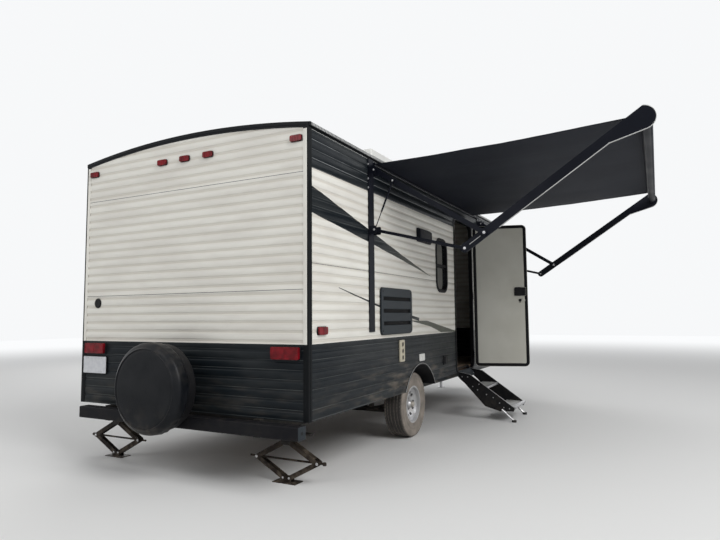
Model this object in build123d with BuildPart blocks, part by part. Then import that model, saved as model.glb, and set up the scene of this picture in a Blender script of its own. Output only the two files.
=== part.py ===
# Travel caravan: single-axle hard-sided trailer with a side awning, parked on its tongue jack.
# Millimetres. +X is forward, +Y is left, +Z is up.
# The origin is on the ground, at the centre of the tongue jack's foot.
from build123d import *
from math import asin, atan2, cos, degrees, hypot, radians, sin, sqrt
import os

os.makedirs("parts", exist_ok=True)

# Body
body_length = 5500
body_width = 2438
floor_bottom = 505
floor_thickness = 95
eave_height = 2688
crown_height = 2782
roof_thickness = 45
wall_thickness = 40
siding_thickness = 6
front_knee_height = 1280
front_slope_back = 247
front_top_radius = 100
front_knee_radius = 400
jack_to_front_wall = 650
rib_pitch = 71
rib_width = 30
rib_floor_width = 16
rib_depth = 3.5
trim_width = 42
trim_thickness = 4
gutter_depth = 16
gutter_height = 30

# Running gear
axle_from_rear = 2155
wheel_radius = 331.5
tyre_width = 205
wheel_centre_y = 1035
rim_radius = 178
rim_flange = 12
arch_radius = 443
arch_drop = 30
well_inner_y = 900
well_thickness = 6

# Chassis
rail_height = 127
rail_width = 60
rail_y = 800
bumper_size = 95
bumper_wall = 5
bumper_gap = 53
bumper_drop = 7
bumper_right_end = 1228
bumper_left_end = 1040
coupler_from_jack = 250
ball_radius = 25.4
ball_clearance = 0.5
ball_height = 470

# Entry door and its steps, places measured from the rear wall
door_hinge_from_rear = 4047
door_width = 705
door_height = 1870
door_bottom = 579
door_thickness = 38
door_open_angle = 107.2
door_gap = 6
door_corner = 60
step_width = 560
step_offset = 12.5
step_pivot_y = 1155
step_pivot_z = 585

# Awning: arm lengths and pivots, one linkage behind the fridge vent and one past the door
awning_rear_from_rear = 1010
awning_front_from_rear = 4410
awning_pivot_y = 1277
awning_pivot_z = 2537
awning_pivot_gap = 531
upper_arm_length = 1145
upper_arm_angle = 33.1
outer_arm_tail = 203.5
outer_arm_length = 1405
roller_offset = 50
arm_width = 15
arm_pitch = 21
upper_arm_depth = 42
outer_arm_depth = 74
lower_arm_depth = 27
roller_radius = 38
end_cap_radius = 88
end_cap_setback = 21
end_cap_flare = 290
fabric_low_from_rear = 1070
fabric_high_from_rear = 4100

# Stabilisers: the two scissor jacks at the rear, and where each stands across the body
scissor_from_rear = 230
scissor_places = (("right", -880), ("left", 1000))
scissor_arm = 283
scissor_top_z = 300
scissor_foot_z = 35
scissor_pin_half = 28
scissor_width = 52

# Spare wheel
spare_radius = 348
spare_height = 720
spare_from_rear = 163

# Values that follow from the ones above
rear_x = -jack_to_front_wall - body_length
front_x = -jack_to_front_wall
half_width = body_width / 2
inner_half = half_width - wall_thickness
skin_half = half_width - siding_thickness
axle_x = rear_x + axle_from_rear
rail_bottom = floor_bottom - rail_height
floor_top = floor_bottom + floor_thickness


# A point this far ahead of the rear wall
def from_rear(distance):
    return rear_x + distance


# Label a finished piece and write it
def keep(piece, name):
    piece.part.label = name
    export_step(piece.part, f"parts/{name}.step")


# The body's outline seen from the side, as a face standing at the given y, or only its edge band
def side_outline(y, top=crown_height, band=0):
    with BuildSketch(Plane.XZ.offset(-y)) as outline:
        with BuildLine():
            Polyline(
                (rear_x, floor_bottom),
                (rear_x, crown_height),
                (front_x - front_slope_back, crown_height),
                (front_x, front_knee_height),
                (front_x, floor_bottom),
                close=True,
            )
        make_face()
        top_front, knee = outline.vertices().sort_by(lambda v: -(v.X + v.Y))[0:2]
        fillet(top_front, front_top_radius)
        fillet(knee, front_knee_radius)
        with Locations(((rear_x + front_x) / 2, top + crown_height / 2)):
            Rectangle(body_length * 1.2, crown_height, mode=Mode.SUBTRACT)
        if band:
            offset(amount=-band, kind=Kind.INTERSECTION, mode=Mode.SUBTRACT)
            with Locations(((rear_x + front_x) / 2, floor_bottom)):
                Rectangle(body_length - 2 * band, 2.1 * band, mode=Mode.SUBTRACT)
    return outline.sketch


# The body's crowned cross-section at the given x, lowered by drop, or only a band of it under the crown
def crown_outline(x, drop, half=half_width, band=0):
    with BuildSketch(Plane.YZ.offset(x)) as outline:
        for lower, mode in ((drop, Mode.ADD), (drop + band, Mode.SUBTRACT))[:2 if band else 1]:
            with BuildLine():
                ThreePointArc(
                    (-half_width, eave_height - lower),
                    (0, crown_height - lower),
                    (half_width, eave_height - lower),
                )
                Polyline(
                    (half_width, eave_height - lower),
                    (half_width, floor_bottom),
                    (-half_width, floor_bottom),
                    (-half_width, eave_height - lower),
                )
            make_face(mode=mode)
        Rectangle(2 * half, 4 * crown_height, mode=Mode.INTERSECT)
    return outline.sketch


# A rounded opening or plate on a side wall, as a face at the given y
def side_panel(y, low, high, bottom, top, corner, grow=0):
    with BuildSketch(Plane.XZ.offset(-y)) as panel:
        with Locations((from_rear((low + high) / 2), (bottom + top) / 2)):
            RectangleRounded(
                high - low + 2 * grow, top - bottom + 2 * grow, corner + grow
            )
    return panel.sketch


# Openings through the side walls: side, low and high from the rear wall, bottom, top, corner radius
door_low = door_hinge_from_rear - door_width
door_top = door_bottom + door_height
frame_lining = 8
doorway = (-1, door_low - door_gap - frame_lining, door_hinge_from_rear + door_gap + frame_lining,
           door_bottom - door_gap - frame_lining, door_top + door_gap + frame_lining,
           door_corner + door_gap + frame_lining)
windows = (
    (-1, 2670, 3020, 1535, 2132, 110),
    (1, 2900, 3900, 1400, 2100, 60),
    (1, 4550, 5050, 1450, 2050, 60),
)
hatches = (
    ("right", -1, 4800, 5330, 640, 1010, 40),
    ("left", 1, 4800, 5330, 640, 1010, 40),
)
hatch_gap = 5
hatch_thickness = 30

# Step well: the notch under the door that the steps' arms pass through
step_centre = from_rear(door_hinge_from_rear - door_width / 2 - step_offset)
step_well_low = 520
step_well_inner = 1100

# Side walls, each one panel with its door, windows, hatch and wheel arch cut out
for side_name, side in (("right", -1), ("left", 1)):
    with BuildPart() as wall:
        extrude(side_outline(side * inner_half), amount=wall_thickness - siding_thickness, dir=(0, side, 0))
        extrude(crown_outline(rear_x - 10, roof_thickness), amount=body_length + 20, mode=Mode.INTERSECT)
        for row in (doorway,) + windows:
            if row[0] == side:
                extrude(side_panel(side * (inner_half - 10), *row[1:]), amount=wall_thickness + 20,
                        dir=(0, side, 0), mode=Mode.SUBTRACT)
        for hatch_name, row_side, *row in hatches:
            if row_side == side:
                hatch_hole = side_panel(side * (inner_half - 10), *row, grow=hatch_gap)
                extrude(hatch_hole, amount=wall_thickness + 20, dir=(0, side, 0), mode=Mode.SUBTRACT)
        with BuildSketch(Plane.XZ):
            with Locations((axle_x, wheel_radius - arch_drop)):
                Circle(arch_radius + well_thickness)
        extrude(amount=body_width, both=True, mode=Mode.SUBTRACT)
        if side < 0:
            with Locations((step_centre, -half_width, floor_top)):
                Box(step_width + 20, 4 * wall_thickness, 2.2 * floor_thickness, mode=Mode.SUBTRACT)
    keep(wall, f"wall_{side_name}")

# Rear wall
with BuildPart() as wall_rear:
    extrude(crown_outline(rear_x + siding_thickness, roof_thickness, inner_half),
            amount=wall_thickness - siding_thickness)
keep(wall_rear, "wall_rear")

# Front wall, from the floor up its slope to the roof
with BuildPart() as wall_front:
    extrude(side_outline(-inner_half), amount=2 * inner_half, dir=(0, 1, 0))
    with BuildSketch(Plane.XZ.offset(inner_half + 10)):
        with BuildLine():
            Polyline(
                (rear_x - 10, floor_bottom - 10),
                (rear_x - 10, crown_height + 10),
                (front_x - front_slope_back - wall_thickness, crown_height + 10),
                (front_x - wall_thickness, front_knee_height),
                (front_x - wall_thickness, floor_bottom - 10),
                close=True,
            )
        make_face()
    extrude(amount=-2 * inner_half - 20, mode=Mode.SUBTRACT)
    extrude(crown_outline(rear_x - 10, roof_thickness), amount=body_length + 20, mode=Mode.INTERSECT)
    slope_rise = crown_height - front_knee_height
    slope_length = hypot(front_slope_back, slope_rise)
    lean = degrees(atan2(front_slope_back, slope_rise))
    slope_margin = front_knee_radius / 2
    rib_rows = [(front_x, front_knee_height - slope_margin - k * rib_pitch, 0) for k in range(7)]
    rib_rows += [
        (
            front_x - front_slope_back * (slope_margin + k * rib_pitch) / slope_length,
            front_knee_height + slope_rise * (slope_margin + k * rib_pitch) / slope_length,
            -lean,
        )
        for k in range(15)
    ]
    for rib_x, rib_z, tilt in rib_rows:
        with Locations(Location((rib_x, 0, rib_z), (0, tilt, 0))):
            Box(2 * rib_depth, 2 * body_width, rib_floor_width, mode=Mode.SUBTRACT)
keep(wall_front, "wall_front")

# Roof: a crowned panel, cut for the roof vent
vent_from_rear = 800
vent_opening = 350
with BuildPart() as roof:
    extrude(crown_outline(rear_x, 0), amount=body_length)
    extrude(crown_outline(rear_x - 10, roof_thickness), amount=body_length + 20, mode=Mode.SUBTRACT)
    extrude(side_outline(-half_width), amount=body_width, dir=(0, 1, 0), mode=Mode.INTERSECT)
    with Locations((from_rear(vent_from_rear), 0, crown_height)):
        Box(vent_opening, vent_opening, 4 * roof_thickness, mode=Mode.SUBTRACT)
keep(roof, "roof")

# Floor, cut for the wheel wells and the step well
with BuildPart() as floor:
    with BuildSketch(Plane.XY.offset(floor_bottom)):
        with Locations(((rear_x + front_x) / 2, 0)):
            Rectangle(body_length - 2 * wall_thickness, 2 * inner_half)
        with Locations((axle_x, well_inner_y + body_width / 2), (axle_x, -well_inner_y - body_width / 2)):
            Rectangle(2 * (arch_radius + well_thickness), body_width, mode=Mode.SUBTRACT)
    extrude(amount=floor_thickness)
    with Locations((step_centre, -half_width, step_well_low + 100)):
        Box(step_width + 20, 2 * (half_width - step_well_inner), 200, mode=Mode.SUBTRACT)
keep(floor, "floor")

# Wheel wells: an arched tray over each wheel, with a rim standing on the siding
with BuildPart() as wheel_wells:
    for side in (-1, 1):
        arch_centre = (axle_x, side * well_inner_y, wheel_radius - arch_drop)
        plane = Plane(origin=arch_centre, x_dir=(1, 0, 0), z_dir=(0, side, 0))
        with BuildSketch(plane):
            Circle(arch_radius + well_thickness)
        extrude(amount=half_width - well_inner_y)
        with BuildSketch(plane.offset(well_thickness)):
            Circle(arch_radius)
        extrude(amount=half_width, mode=Mode.SUBTRACT)
        with BuildSketch(plane.offset(half_width - well_inner_y)):
            Circle(arch_radius + 2.5 * well_thickness)
            Circle(arch_radius, mode=Mode.SUBTRACT)
        extrude(amount=trim_thickness)
    with Locations((axle_x, 0, floor_bottom - crown_height)):
        Box(4 * arch_radius, 2 * body_width, 2 * crown_height, mode=Mode.SUBTRACT)
keep(wheel_wells, "wheel_wells")

# Siding skins, ribbed along the sides and rear

# A ribbed section from the floor to the crown: depth 0 is the outer face
def rib_points():
    points = [(siding_thickness, crown_height), (siding_thickness, floor_bottom), (0, floor_bottom)]
    for k in range(1, int((crown_height - floor_bottom) / rib_pitch)):
        z = floor_bottom + k * rib_pitch
        points += [
            (0, z - rib_width / 2),
            (rib_depth, z - rib_floor_width / 2),
            (rib_depth, z + rib_floor_width / 2),
            (0, z + rib_width / 2),
        ]
    return points + [(0, crown_height)]


with BuildPart() as siding:
    for side in (-1, 1):
        with BuildSketch(Plane.YZ.offset(rear_x)):
            with BuildLine():
                Polyline([(side * (half_width - depth), z) for depth, z in rib_points()], close=True)
            make_face()
        extrude(amount=body_length)
    extrude(side_outline(-half_width, top=eave_height), amount=body_width, dir=(0, 1, 0), mode=Mode.INTERSECT)
    for row in (doorway,) + windows:
        side = row[0]
        extrude(side_panel(side * skin_half - side * 10, *row[1:]), amount=20 + siding_thickness,
                dir=(0, side, 0), mode=Mode.SUBTRACT)
    for hatch_name, side, *row in hatches:
        extrude(side_panel(side * skin_half - side * 10, *row, grow=hatch_gap), amount=20 + siding_thickness,
                dir=(0, side, 0), mode=Mode.SUBTRACT)
    with BuildSketch(Plane.XZ):
        with Locations((axle_x, wheel_radius - arch_drop)):
            Circle(arch_radius + well_thickness)
    extrude(amount=body_width, both=True, mode=Mode.SUBTRACT)
    with Locations((step_centre, -half_width, floor_top)):
        Box(step_width + 20, 4 * wall_thickness, 2.2 * floor_thickness, mode=Mode.SUBTRACT)
    extrude(crown_outline(rear_x - 10, roof_thickness), amount=body_length + 20, mode=Mode.INTERSECT)

    with BuildSketch(Plane.XZ.offset(inner_half)):
        with BuildLine():
            Polyline([(rear_x + depth, z) for depth, z in rib_points()], close=True)
        make_face()
    extrude(amount=-2 * inner_half)
    extrude(crown_outline(rear_x - 10, roof_thickness), amount=body_length + 20, mode=Mode.INTERSECT)
keep(siding, "siding")

# Edge trims: a flat band round each side, a strip up each rear corner, and bands along the crown
with BuildPart() as edge_trims:
    for side in (-1, 1):
        side_band = side_outline(side * half_width, top=eave_height, band=trim_width)
        extrude(side_band, amount=trim_thickness, dir=(0, side, 0))
        strip_y = side * (half_width - (trim_width - trim_thickness) / 2)
        with BuildSketch(Plane.YZ.offset(rear_x)):
            with Locations((strip_y, (floor_bottom + eave_height) / 2)):
                Rectangle(trim_width + trim_thickness, eave_height - floor_bottom)
        extrude(amount=-trim_thickness)
        with Locations((
            (rear_x + front_x - front_slope_back) / 2,
            side * (half_width + gutter_depth / 2),
            eave_height - gutter_height / 2,
        )):
            Box(body_length - front_slope_back, gutter_depth, gutter_height)
    extrude(crown_outline(rear_x, 0, band=roof_thickness), amount=-trim_thickness)
keep(edge_trims, "edge_trims")

# Chassis: two rails, cross-members and the converging drawbar, all one welded frame
cross_width = 50
cross_members = (0, 1350, 2900, 4100, body_length - 60)
drawbar_start = cross_members[3] + cross_width
drawbar_lap = 150
drawbar_width = 50
drawbar_tip_y = 58
jack_tube_radius = 28.5
jack_plate_thickness = 8
stand_bar_height = 12


# One leg of the drawbar, from where it meets its rail to the coupler, as a face at the rails' underside
def drawbar_leg(side):
    tip_x = coupler_from_jack - 60
    with BuildSketch(Plane.XY.offset(rail_bottom)) as leg:
        with BuildLine():
            Polyline(
                (from_rear(drawbar_start + drawbar_lap), side * (rail_y - rail_width / 2)),
                (from_rear(drawbar_start), side * (rail_y - rail_width / 2)),
                (from_rear(drawbar_start), side * (rail_y - rail_width / 2 - drawbar_width)),
                (tip_x - 70, side * (drawbar_tip_y - drawbar_width / 2)),
                (tip_x, side * (drawbar_tip_y - drawbar_width / 2)),
                (tip_x, side * (drawbar_tip_y + drawbar_width / 2)),
                close=True,
            )
        make_face()
    return extrude(leg.sketch, amount=rail_height, dir=(0, 0, 1))


members = []
for side in (-1, 1):
    rail = Box(body_length + bumper_gap, rail_width, rail_height)
    rail_middle_x = (rear_x - bumper_gap + front_x) / 2
    members.append(Pos(rail_middle_x, side * rail_y, rail_bottom + rail_height / 2) * rail)
    members.append(drawbar_leg(side))
for start in cross_members:
    cross = Box(cross_width, 2 * rail_y - rail_width, rail_height)
    cross = Pos(from_rear(start) + cross_width / 2, 0, rail_bottom + rail_height / 2) * cross
    members += (cross - members[1] - members[3]).solids()
stand_bar = Box(scissor_width, 2 * (max(abs(y) for _, y in scissor_places) + 100), stand_bar_height)
members.append(Pos(from_rear(scissor_from_rear), 0, rail_bottom - stand_bar_height / 2) * stand_bar)
stand_plate_top = rail_bottom - stand_bar_height
stand_plate_bottom = scissor_top_z - 18
for _, jack_y in scissor_places:
    for face in (-1, 1):
        plate = Box(4, 2 * scissor_pin_half + 34, stand_plate_top - stand_plate_bottom)
        plate_x = from_rear(scissor_from_rear) + face * (scissor_width / 2 + 3.5)
        members.append(Pos(plate_x, jack_y, (stand_plate_top + stand_plate_bottom) / 2) * plate)
for plate_x, plate_long, plate_wide in ((0, 140, 220), (-400, 330, 660)):
    plate = Box(plate_long, plate_wide, jack_plate_thickness)
    members.append(Pos(plate_x, 0, floor_bottom + jack_plate_thickness / 2) * plate)
members[-2] -= Cylinder(jack_tube_radius, 3 * floor_bottom)
chassis = Compound(label="chassis", children=[piece.solid() for piece in members])
export_step(chassis, "parts/chassis.step")

# Coupler: a domed ball socket with a nose flange and cheeks over the drawbar's tip
socket_radius = ball_radius + ball_clearance
coupler_wall = 7
with BuildPart() as coupler:
    with BuildSketch(Plane.XY.offset(ball_height - 30)):
        with Locations((coupler_from_jack, 0)):
            Circle(socket_radius + coupler_wall)
        with BuildLine():
            Polyline(
                (coupler_from_jack, socket_radius + coupler_wall),
                (coupler_from_jack - 60, drawbar_tip_y + drawbar_width / 2),
                (coupler_from_jack - 60, -drawbar_tip_y - drawbar_width / 2),
                (coupler_from_jack, -socket_radius - coupler_wall),
                close=True,
            )
        make_face()
    extrude(amount=62)
    with Locations((coupler_from_jack, 0, ball_height)):
        Sphere(socket_radius + coupler_wall)
    with Locations((coupler_from_jack, 0, ball_height)):
        Sphere(socket_radius, mode=Mode.SUBTRACT)
    with Locations((coupler_from_jack, 0, ball_height - 100)):
        Cylinder(socket_radius, 200, mode=Mode.SUBTRACT)
    with Locations((coupler_from_jack - 35, 0, ball_height + 55)):
        Box(90, 26, 46)
    fillet(coupler.edges().filter_by(Axis.Y).group_by(Axis.Z)[-1], 12)
    with Locations((coupler_from_jack - 5, 0, ball_height - 30 - 100)):
        Box(200, 300, 200, mode=Mode.SUBTRACT)
keep(coupler, "coupler")

# Tongue jack: a fixed outer tube with its gear head, and the ram with its foot
ram_radius = 24
ram_gap = 0.7
jack_tube_bottom = 250
jack_tube_top = 930
ram_top = 480
foot_radius = 65
foot_thickness = 10
with BuildPart() as jack_tube:
    with BuildSketch(Plane.XY.offset(jack_tube_bottom)):
        Circle(jack_tube_radius)
    extrude(amount=jack_tube_top - jack_tube_bottom)
    with BuildSketch(Plane.XY.offset(jack_tube_bottom)):
        Circle(ram_radius + ram_gap)
    extrude(amount=jack_tube_top - jack_tube_bottom - 60, mode=Mode.SUBTRACT)
    with BuildSketch(Plane.XY.offset(floor_bottom + jack_plate_thickness)):
        Circle(62)
        Circle(jack_tube_radius, mode=Mode.SUBTRACT)
    extrude(amount=12)
    with BuildSketch(Plane.XY.offset(jack_tube_top)):
        RectangleRounded(150, 110, 40)
    extrude(amount=95, taper=6)
    fillet(jack_tube.edges().group_by(Axis.Z)[-1], 18)
keep(jack_tube, "jack_tube")
with BuildPart() as jack_ram:
    with BuildSketch(Plane.XY):
        Circle(foot_radius)
    extrude(amount=foot_thickness)
    fillet(jack_ram.edges().group_by(Axis.Z)[-1], 4)
    with BuildSketch(Plane.XY.offset(foot_thickness)):
        Circle(ram_radius + 10)
    extrude(amount=40, taper=12)
    with BuildSketch(Plane.XY.offset(foot_thickness)):
        Circle(ram_radius)
    extrude(amount=ram_top - foot_thickness)
keep(jack_ram, "jack_ram")

# Rear bumper tube with the spare wheel's carrier standing on it
bumper_x = rear_x - bumper_gap - bumper_size / 2
bumper_z = floor_bottom - bumper_drop - bumper_size / 2
spare_inner_x = rear_x - spare_from_rear
with BuildPart() as bumper:
    with BuildSketch(Plane.XZ.offset(bumper_right_end)):
        with Locations((bumper_x, bumper_z)):
            RectangleRounded(bumper_size, bumper_size, 8)
            offset(amount=-bumper_wall, mode=Mode.SUBTRACT)
    extrude(amount=-bumper_right_end - bumper_left_end)
    for side, end in ((-1, bumper_right_end), (1, bumper_left_end)):
        with BuildSketch(Plane.XZ.offset(-side * end)):
            with Locations((bumper_x, bumper_z)):
                RectangleRounded(bumper_size, bumper_size, 8)
                Circle(7, mode=Mode.SUBTRACT)
        extrude(amount=side * bumper_wall)
    for side in (-1, 1):
        with Locations((bumper_x, side * 90, bumper_z + bumper_size / 2 + 130)):
            Box(60, 8, 260)
    with Locations((bumper_x - 20, 0, spare_height)):
        Box(8, 200, 120)
    with BuildSketch(Plane.YZ.offset(bumper_x - 20)):
        with Locations((0, spare_height)):
            Circle(22)
    extrude(amount=-(bumper_x - 20 - spare_inner_x) - 8)
keep(bumper, "bumper")


# A tyre on its rim, as a section turned round the Y axis: (distance from the wheel's middle, radius)
def tyre_section(plane):
    half = tyre_width / 2
    bead = rim_radius + 4
    with BuildSketch(plane) as section:
        with BuildLine():
            shoulder = wheel_radius - 22
            Line((-half + 22, wheel_radius), (half - 22, wheel_radius))
            ThreePointArc((half - 22, wheel_radius), (half - 7, wheel_radius - 7), (half - 2, shoulder))
            ThreePointArc((half - 2, shoulder), (half, (shoulder + bead) / 2), (half - 20, bead))
            Line((half - 20, bead), (-half + 20, bead))
            ThreePointArc((-half + 20, bead), (-half, (shoulder + bead) / 2), (-half + 2, shoulder))
            ThreePointArc((-half + 2, shoulder), (-half + 7, wheel_radius - 7), (-half + 22, wheel_radius))
        make_face()
    return section.sketch


# Road wheels: tyre, and rim with its disc, drum and hub
rim_wall = 5
disc_outset = 22
lug_circle = 57.15
window_pairs = 5
window_spread = 15
hub_radius = 42
for side_name, side in (("right", -1), ("left", 1)):
    wheel_centre = (axle_x, side * wheel_centre_y, wheel_radius)
    wheel_plane = Plane(origin=wheel_centre, x_dir=(0, side, 0), z_dir=(side, 0, 0))
    axle_line = Axis((axle_x, 0, wheel_radius), (0, 1, 0))
    with BuildPart() as tyre:
        revolve(tyre_section(wheel_plane), axis=axle_line)
    keep(tyre, f"tyre_{side_name}")
    half = tyre_width / 2
    with BuildPart() as rim:
        with BuildSketch(wheel_plane):
            with BuildLine():
                Polyline(
                    (-half + 16, rim_radius + rim_flange),
                    (-half + 16, rim_radius),
                    (-half + 40, rim_radius + 3),
                    (half - 40, rim_radius + 3),
                    (half - 16, rim_radius),
                    (half - 16, rim_radius + rim_flange),
                    (half - 10, rim_radius + rim_flange),
                    (half - 10, rim_radius - rim_wall),
                    (half - 44, rim_radius - rim_wall - 3),
                    (disc_outset + 30, rim_radius - 40),
                    (disc_outset, 90),
                    (disc_outset, hub_radius),
                    (disc_outset + 30, hub_radius),
                    (disc_outset + 48, hub_radius - 12),
                    (disc_outset + 48, 0),
                    (-120, 0),
                    (-120, 22),
                    (-110, 22),
                    (-110, 128),
                    (-30, 128),
                    (-30, 60),
                    (disc_outset - 8, 60),
                    (disc_outset - 8, 92),
                    (disc_outset + 22, rim_radius - 36),
                    (half - 56, rim_radius - rim_wall - 3),
                    (-half + 10, rim_radius - rim_wall),
                    (-half + 10, rim_radius + rim_flange),
                    close=True,
                )
            make_face()
        revolve(axis=axle_line)
        disc_plane = Plane(origin=wheel_centre, x_dir=(1, 0, 0), z_dir=(0, side, 0))
        with BuildSketch(disc_plane):
            for turn in (-window_spread, window_spread):
                with PolarLocations(rim_radius - 62, window_pairs, start_angle=61 + turn):
                    SlotOverall(38, 27, rotation=90)
        extrude(amount=disc_outset + 40, mode=Mode.SUBTRACT)
        with BuildSketch(disc_plane.offset(disc_outset)):
            with PolarLocations(lug_circle, 5):
                RegularPolygon(11, 6)
        extrude(amount=18)
    keep(rim, f"rim_{side_name}")

# Spare wheel on the carrier, and its vinyl cover
spare_x = spare_inner_x - 8 - tyre_width / 2
spare_plane = Plane(origin=(spare_x, 0, spare_height), x_dir=(-1, 0, 0), z_dir=(0, 1, 0))
spare_line = Axis((0, 0, spare_height), (1, 0, 0))
with BuildPart() as spare_wheel:
    revolve(tyre_section(spare_plane), axis=spare_line)
    with BuildSketch(spare_plane):
        with BuildLine():
            Polyline(
                (-tyre_width / 2 + 12, rim_radius + 4),
                (tyre_width / 2 - 12, rim_radius + 4),
                (tyre_width / 2 - 12, rim_radius - 6),
                (-tyre_width / 2 + 50, rim_radius - 6),
                (-tyre_width / 2 + 20, 120),
                (-tyre_width / 2, 100),
                (-tyre_width / 2, 24),
                (-tyre_width / 2 - 8, 24),
                (-tyre_width / 2 - 8, 110),
                (-tyre_width / 2 + 12, 130),
                close=True,
            )
        make_face()
    revolve(axis=spare_line)
keep(spare_wheel, "spare_wheel")
cover_wall = 6
cover_gap = 4
cover_hem = 12
cover_seam_radius = 300
with BuildPart() as spare_cover:
    with BuildSketch(spare_plane):
        with BuildLine():
            face = tyre_width / 2 + cover_gap
            Polyline(
                (face - 32, spare_radius),
                (-cover_hem, spare_radius),
                (-cover_hem, wheel_radius + cover_gap),
                (face - 24, wheel_radius + cover_gap),
                (face - 8, wheel_radius - 3),
                (face, wheel_radius - 21),
                (face + cover_wall, 0),
                (face + 2 * cover_wall, 0),
                (face + cover_wall, cover_seam_radius),
            )
            shoulder = (face - 6, spare_radius - 11)
            ThreePointArc((face + cover_wall, cover_seam_radius), shoulder, (face - 32, spare_radius))
        make_face()
    revolve(axis=spare_line)
keep(spare_cover, "spare_cover")

# Drop axle: tube, risers and stub axles with their brake plates
axle_drop = 76
axle_tube_radius = 30
stub_radius = 20
stub_reach = wheel_centre_y - 130
with BuildPart() as axle:
    with BuildSketch(Plane.XZ.offset(stub_reach - 20)):
        with Locations((axle_x, wheel_radius - axle_drop)):
            Circle(axle_tube_radius)
    extrude(amount=-2 * (stub_reach - 20))
    for side in (-1, 1):
        stub_start = (axle_x, side * (stub_reach - 40), wheel_radius)
        stub_plane = Plane(origin=stub_start, x_dir=(1, 0, 0), z_dir=(0, side, 0))
        with Locations((axle_x, side * (stub_reach - 35), wheel_radius - axle_drop / 2)):
            Box(2 * axle_tube_radius, 30, axle_drop + 2 * axle_tube_radius)
        with BuildSketch(stub_plane):
            Circle(stub_radius + 8)
        extrude(amount=50)
keep(axle, "axle")

# Leaf springs between their hangers: three leaves each, strapped to the axle
spring_reach = 330
leaf_thickness = 9
leaf_width = 45
spring_eye_z = rail_bottom - 40
spring_seat_z = wheel_radius - axle_drop + axle_tube_radius
spring_rise = spring_eye_z - spring_seat_z - 3 * leaf_thickness
with BuildPart() as springs:
    for side in (-1, 1):
        for leaf, reach in enumerate((spring_reach, 230, 140)):
            low = spring_seat_z + leaf_thickness * (2 - leaf)
            end_low = low + spring_rise * (reach / spring_reach) ** 2
            end_high = end_low + leaf_thickness
            with BuildSketch(Plane.XZ.offset(-side * rail_y + leaf_width / 2)):
                with BuildLine():
                    ThreePointArc((axle_x - reach, end_low), (axle_x, low), (axle_x + reach, end_low))
                    Line((axle_x + reach, end_low), (axle_x + reach, end_high))
                    ThreePointArc(
                        (axle_x + reach, end_high), (axle_x, low + leaf_thickness), (axle_x - reach, end_high)
                    )
                    Line((axle_x - reach, end_high), (axle_x - reach, end_low))
                make_face()
            extrude(amount=-leaf_width)
        hanger = rail_bottom - spring_eye_z + leaf_thickness
        for end in (-1, 1):
            with Locations((axle_x + end * spring_reach, side * rail_y, rail_bottom - hanger / 2)):
                Box(30, leaf_width, hanger)
keep(springs, "springs")

# Door frame: a lining through the wall, an outer flange, hinge knuckles and the grab handle
flange_width = 30
flange_thickness = 7
hinge_y = half_width + flange_thickness + 11
with BuildPart() as door_frame:
    extrude(side_panel(-inner_half, *doorway[1:]), amount=wall_thickness, dir=(0, -1, 0))
    flange = side_panel(-half_width, *doorway[1:], grow=flange_width - frame_lining)
    extrude(flange, amount=flange_thickness, dir=(0, -1, 0))
    clear_way = side_panel(-inner_half + 5, *doorway[1:], grow=-frame_lining)
    extrude(clear_way, amount=2 * wall_thickness, dir=(0, -1, 0), mode=Mode.SUBTRACT)
    with Locations((step_centre, -half_width, floor_top)):
        Box(step_width + 20, 4 * wall_thickness, 2.2 * floor_thickness, mode=Mode.SUBTRACT)
    for z in (door_bottom + 160, door_bottom + door_height / 2, door_top - 160):
        with Locations((from_rear(door_hinge_from_rear) + 14, -half_width - flange_thickness - 4, z)):
            Box(20, 8, 90)
keep(door_frame, "door_frame")

# Entry door, drawn shut and swung open about its forward edge
swing = radians(door_open_angle)
door_plane = Plane(
    origin=(from_rear(door_hinge_from_rear), -hinge_y, 0),
    x_dir=(-cos(swing), -sin(swing), 0),
    z_dir=(-sin(swing), cos(swing), 0),
)
door_inset = 6
latch_height = 1560
with BuildPart() as entry_door:
    with BuildSketch(door_plane.offset(door_inset)):
        with Locations((door_inset / 2 + door_width / 2, door_bottom + door_height / 2)):
            RectangleRounded(door_width - door_inset, door_height, door_corner)
    extrude(amount=door_thickness)
    for face_depth, cut_depth in ((door_inset, 5), (door_inset + door_thickness, -5)):
        with BuildSketch(door_plane.offset(face_depth)):
            with Locations((door_inset / 2 + door_width / 2, door_bottom + door_height / 2)):
                RectangleRounded(door_width - door_inset - 60, door_height - 60, door_corner - 30)
        extrude(amount=cut_depth, mode=Mode.SUBTRACT)
    with BuildSketch(door_plane.offset(door_inset + door_thickness - 5)):
        with Locations((door_width - 60, latch_height)):
            RectangleRounded(75, 110, 10)
        with Locations((door_width - 60, latch_height - 115)):
            Circle(24)
    extrude(amount=22)
keep(entry_door, "entry_door")

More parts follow.
